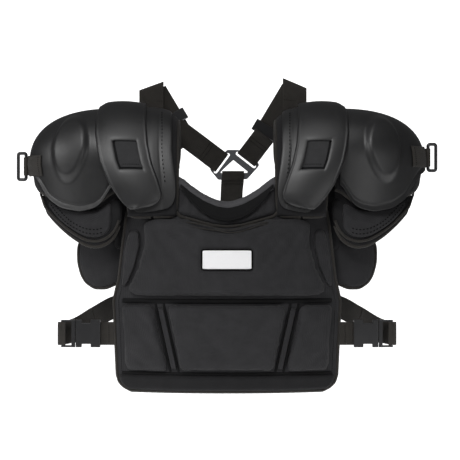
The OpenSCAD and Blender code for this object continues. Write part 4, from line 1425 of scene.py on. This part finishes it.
def add_light(name, place, aim, size, power, size_y=None):
    """Soft area light at a place in metres, turned to its aim."""
    data = bpy.data.lights.new(name, "AREA")
    data.shape = "RECTANGLE"
    data.size = size
    data.size_y = size_y or size
    data.energy = power
    obj = bpy.data.objects.new(name, data)
    bpy.context.scene.collection.objects.link(obj)
    way = Vector(aim) - Vector(place)
    obj.location = place
    obj.rotation_euler = way.to_track_quat("-Z", "Y").to_euler()
    return obj


# ---------------------------------------------------------------- add-on classes


class ProtectorColours(bpy.types.PropertyGroup):
    """Colours of the protector's materials."""

    cloth_dark: bpy.props.FloatVectorProperty(name="Cloth shadow", description="Darkest tone of the woven cloth",
                                              subtype="COLOR", size=3, default=(0.0055, 0.0055, 0.006))
    cloth_light: bpy.props.FloatVectorProperty(name="Cloth tone", description="Lightest tone of the woven cloth",
                                               subtype="COLOR", size=3, default=(0.0345, 0.034, 0.0365))
    webbing_dark: bpy.props.FloatVectorProperty(name="Webbing shadow", description="Darkest tone of the webbing",
                                                subtype="COLOR", size=3, default=(0.012, 0.0105, 0.009))
    webbing_light: bpy.props.FloatVectorProperty(name="Webbing tone", description="Lightest tone of the webbing",
                                                 subtype="COLOR", size=3, default=(0.044, 0.039, 0.033))
    shell: bpy.props.FloatVectorProperty(name="Shell", description="Colour of the moulded shells",
                                         subtype="COLOR", size=3, default=(0.010, 0.010, 0.0105))
    hardware: bpy.props.FloatVectorProperty(name="Hardware", description="Colour of the buckles, sliders and loops",
                                            subtype="COLOR", size=3, default=(0.012, 0.012, 0.013))
    ring: bpy.props.FloatVectorProperty(name="Ring", description="Colour of the triangular ring",
                                        subtype="COLOR", size=3, default=(0.085, 0.088, 0.095))
    label: bpy.props.FloatVectorProperty(name="Label", description="Colour of the blank label",
                                         subtype="COLOR", size=3, default=(0.93, 0.93, 0.94))
    stage: bpy.props.FloatVectorProperty(name="Stage", description="Colour of the floor and backdrop",
                                         subtype="COLOR", size=3, default=(0.86, 0.86, 0.86))


class ProtectorSizes(bpy.types.PropertyGroup):
    """Sizes that set how the protector is shown."""

    weave_pitch: bpy.props.FloatProperty(name="Weave pitch", description="Distance between two threads of the cloth",
                                         default=0.0016, min=0.0005, max=0.004, unit="LENGTH")
    shell_roughness: bpy.props.FloatProperty(name="Shell roughness", description="Roughness of the moulded shells",
                                             default=0.42, min=0.1, max=0.9, subtype="FACTOR")
    camera_distance: bpy.props.FloatProperty(name="Camera distance", description="Camera to the middle of the piece",
                                             default=3.6, min=1, max=10, unit="LENGTH")
    view_width: bpy.props.FloatProperty(name="View width", description="Width that the camera takes in",
                                        default=0.7555, min=0.5, max=2, unit="LENGTH")


def palette():
    """Materials by name, made once and kept in the file."""
    made = bpy.data.materials
    if "woven_nylon" not in made:
        c = bpy.context.scene.protector_colours
        s = bpy.context.scene.protector_sizes
        dark, light = tuple(c.cloth_dark), tuple(c.cloth_light)
        woven("woven_nylon", dark, light, s.weave_pitch, 0.00022, 0.78, 0.06)
        woven("close_knit", scaled(dark, 0.7), scaled(light, 0.5), 0.0012, 0.0002, 0.85, 0.04)
        # Lighter copy of the cloth for the collar roll and band: a painted highlight on the rim.
        woven("rim_knit_painted_highlight", scaled(light, 0.9), scaled(light, 1.9), 0.0012, 0.00012, 0.6, 0.15)
        # Very dark copy of the cloth: the collar crescent's own dark cloth, and painted shade in the chest's seam
        # valleys.
        woven("crescent_felt_and_painted_shade", scaled(dark, 0.5), scaled(light, 0.22), 0.0012, 0.0002, 0.9, 0.02)
        woven("brushed_lining", scaled(dark, 1.1), scaled(light, 1.2), 0.003, 0.0005, 0.9, 0.1)
        banded("ribbed_webbing", tuple(c.webbing_dark), tuple(c.webbing_light))
        banded("window_tape", scaled(c.shell, 2.2), scaled(c.shell, 5.0))
        banded("edge_tape", tuple(c.webbing_dark), scaled(c.webbing_light, 0.8), 1.1, 1.6, 0.00018, 0.66)
        moulded("shell_polyethylene", tuple(c.shell), s.shell_roughness)
        moulded("insert_sheet", (0.15, 0.15, 0.15), 0.6)
        moulded("acetal_black", tuple(c.hardware), 0.34, 0.00003, 0.06)
        moulded("acetal_grey", tuple(c.ring), 0.38, 0.00003, 0.08)
        moulded("slider_grey", scaled(c.ring, 1.3), 0.3, 0.00002, 0.04)
        plain_thread("sewing_thread", (0.003, 0.003, 0.003))
        label_cloth("label_weave", tuple(c.label))
    return made


class PROTECTOR_OT_stage(bpy.types.Operator):
    """Camera, soft lights and the pale floor."""

    bl_idname = "protector.stage"
    bl_label = "Stage"

    def execute(self, context):
        s = context.scene.protector_sizes
        data = bpy.data.cameras.new("camera")
        data.lens = data.sensor_width * s.camera_distance / s.view_width
        camera = bpy.data.objects.new("camera", data)
        context.scene.collection.objects.link(camera)
        camera.location = (0.0049, -0.06 - s.camera_distance, -0.046)
        camera.rotation_euler = (np.pi / 2, 0, 0)
        context.scene.camera = camera
        world = bpy.data.worlds.new("studio")
        world.use_nodes = True
        world.node_tree.nodes["Background"].inputs[0].default_value = (1, 1, 1, 1)
        world.node_tree.nodes["Background"].inputs[1].default_value = 0.12
        context.scene.world = world
        context.scene.view_settings.view_transform = "Standard"
        build_stage(tuple(context.scene.protector_colours.stage))
        add_light("key", (-0.7, -2.1, 1.85), (0, 0, -0.02), 1.0, 36)
        add_light("rake", (-2.3, -1.3, 0.75), (0, 0, -0.05), 0.8, 22)
        add_light("fill", (1.5, -2.7, 0.1), (0, 0, -0.05), 1.0, 12)
        add_light("top", (0.1, -1.2, 2.2), (0, 0, 0), 1.4, 8, 1.0)
        return {"FINISHED"}


class PROTECTOR_OT_chest(bpy.types.Operator):
    """Chest apron: cover, lining, sewn pads, hem, binding, seams and blank label."""

    bl_idname = "protector.chest"
    bl_label = "Chest"

    def execute(self, context):
        m = palette()
        build_chest(m["woven_nylon"], m["close_knit"], m["brushed_lining"], m["sewing_thread"], m["edge_tape"],
                    m["label_weave"], m["insert_sheet"], m["crescent_felt_and_painted_shade"])
        return {"FINISHED"}


class PROTECTOR_OT_collar(bpy.types.Operator):
    """Padded neck roll and the crescent under it."""

    bl_idname = "protector.collar"
    bl_label = "Collar"

    def execute(self, context):
        m = palette()
        build_collar(m["woven_nylon"], m["crescent_felt_and_painted_shade"], m["rim_knit_painted_highlight"])
        return {"FINISHED"}


class PROTECTOR_OT_yokes(bpy.types.Operator):
    """Padded yokes and moulded under plates."""

    bl_idname = "protector.yokes"
    bl_label = "Yokes"

    def execute(self, context):
        m = palette()
        build_yokes(m["close_knit"], m["edge_tape"], m["sewing_thread"], m["shell_polyethylene"])
        return {"FINISHED"}


class PROTECTOR_OT_arches(bpy.types.Operator):
    """Arch plates with their windows and webbing."""

    bl_idname = "protector.arches"
    bl_label = "Arch plates"

    def execute(self, context):
        m = palette()
        build_arches(m["shell_polyethylene"], m["window_tape"], m["sewing_thread"], m["close_knit"])
        return {"FINISHED"}


class PROTECTOR_OT_caps(bpy.types.Operator):
    """Shoulder caps with padding, tabs and arm loops."""

    bl_idname = "protector.caps"
    bl_label = "Shoulder caps"

    def execute(self, context):
        m = palette()
        build_caps(m["close_knit"], m["edge_tape"], m["shell_polyethylene"], m["sewing_thread"],
                   m["ribbed_webbing"], m["acetal_black"])
        return {"FINISHED"}


class PROTECTOR_OT_arm_pads(bpy.types.Operator):
    """Upper-arm pads with their stitched panels."""

    bl_idname = "protector.arm_pads"
    bl_label = "Arm pads"

    def execute(self, context):
        m = palette()
        build_arm_pads(m["woven_nylon"], m["close_knit"], m["edge_tape"], m["sewing_thread"])
        return {"FINISHED"}


class PROTECTOR_OT_wings(bpy.types.Operator):
    """Rib wings."""

    bl_idname = "protector.wings"
    bl_label = "Rib wings"

    def execute(self, context):
        m = palette()
        build_wings(m["woven_nylon"], m["edge_tape"])
        return {"FINISHED"}


class PROTECTOR_OT_belt(bpy.types.Operator):
    """Waist belt and its buckles."""

    bl_idname = "protector.belt"
    bl_label = "Waist belt"

    def execute(self, context):
        m = palette()
        build_belt(m["ribbed_webbing"], m["acetal_black"], m["sewing_thread"])
        return {"FINISHED"}


class PROTECTOR_OT_harness(bpy.types.Operator):
    """Back harness with sliders and the triangular ring."""

    bl_idname = "protector.harness"
    bl_label = "Harness"

    def execute(self, context):
        m = palette()
        build_harness(m["ribbed_webbing"], m["acetal_black"], m["acetal_grey"], m["sewing_thread"], m["slider_grey"])
        return {"FINISHED"}


OPERATORS = (PROTECTOR_OT_stage, PROTECTOR_OT_chest, PROTECTOR_OT_collar, PROTECTOR_OT_yokes, PROTECTOR_OT_arches,
             PROTECTOR_OT_caps, PROTECTOR_OT_arm_pads, PROTECTOR_OT_wings, PROTECTOR_OT_belt, PROTECTOR_OT_harness)


class PROTECTOR_PT_panel(bpy.types.Panel):
    """Lists the pieces of the protector in the sidebar."""

    bl_idname = "PROTECTOR_PT_panel"
    bl_label = "Shoulder protector"
    bl_space_type = "VIEW_3D"
    bl_region_type = "UI"
    bl_category = "Protector"

    def draw(self, context):
        for group in (context.scene.protector_colours, context.scene.protector_sizes):
            for key in group.__annotations__:
                self.layout.prop(group, key)
        for operator in OPERATORS:
            self.layout.operator(operator.bl_idname)


CLASSES = (ProtectorColours, ProtectorSizes, *OPERATORS, PROTECTOR_PT_panel)


def register():
    """Registers the classes and hangs the settings on the scene."""
    for cls in CLASSES:
        bpy.utils.register_class(cls)
    bpy.types.Scene.protector_colours = bpy.props.PointerProperty(type=ProtectorColours)
    bpy.types.Scene.protector_sizes = bpy.props.PointerProperty(type=ProtectorSizes)


def unregister():
    """Takes the settings and classes away again."""
    del bpy.types.Scene.protector_sizes
    del bpy.types.Scene.protector_colours
    for cls in reversed(CLASSES):
        bpy.utils.unregister_class(cls)


def main():
    """Builds every piece in order."""
    register()
    for operator in OPERATORS:
        group, name = operator.bl_idname.split(".")
        getattr(getattr(bpy.ops, group), name)()


if __name__ == "__main__":
    main()
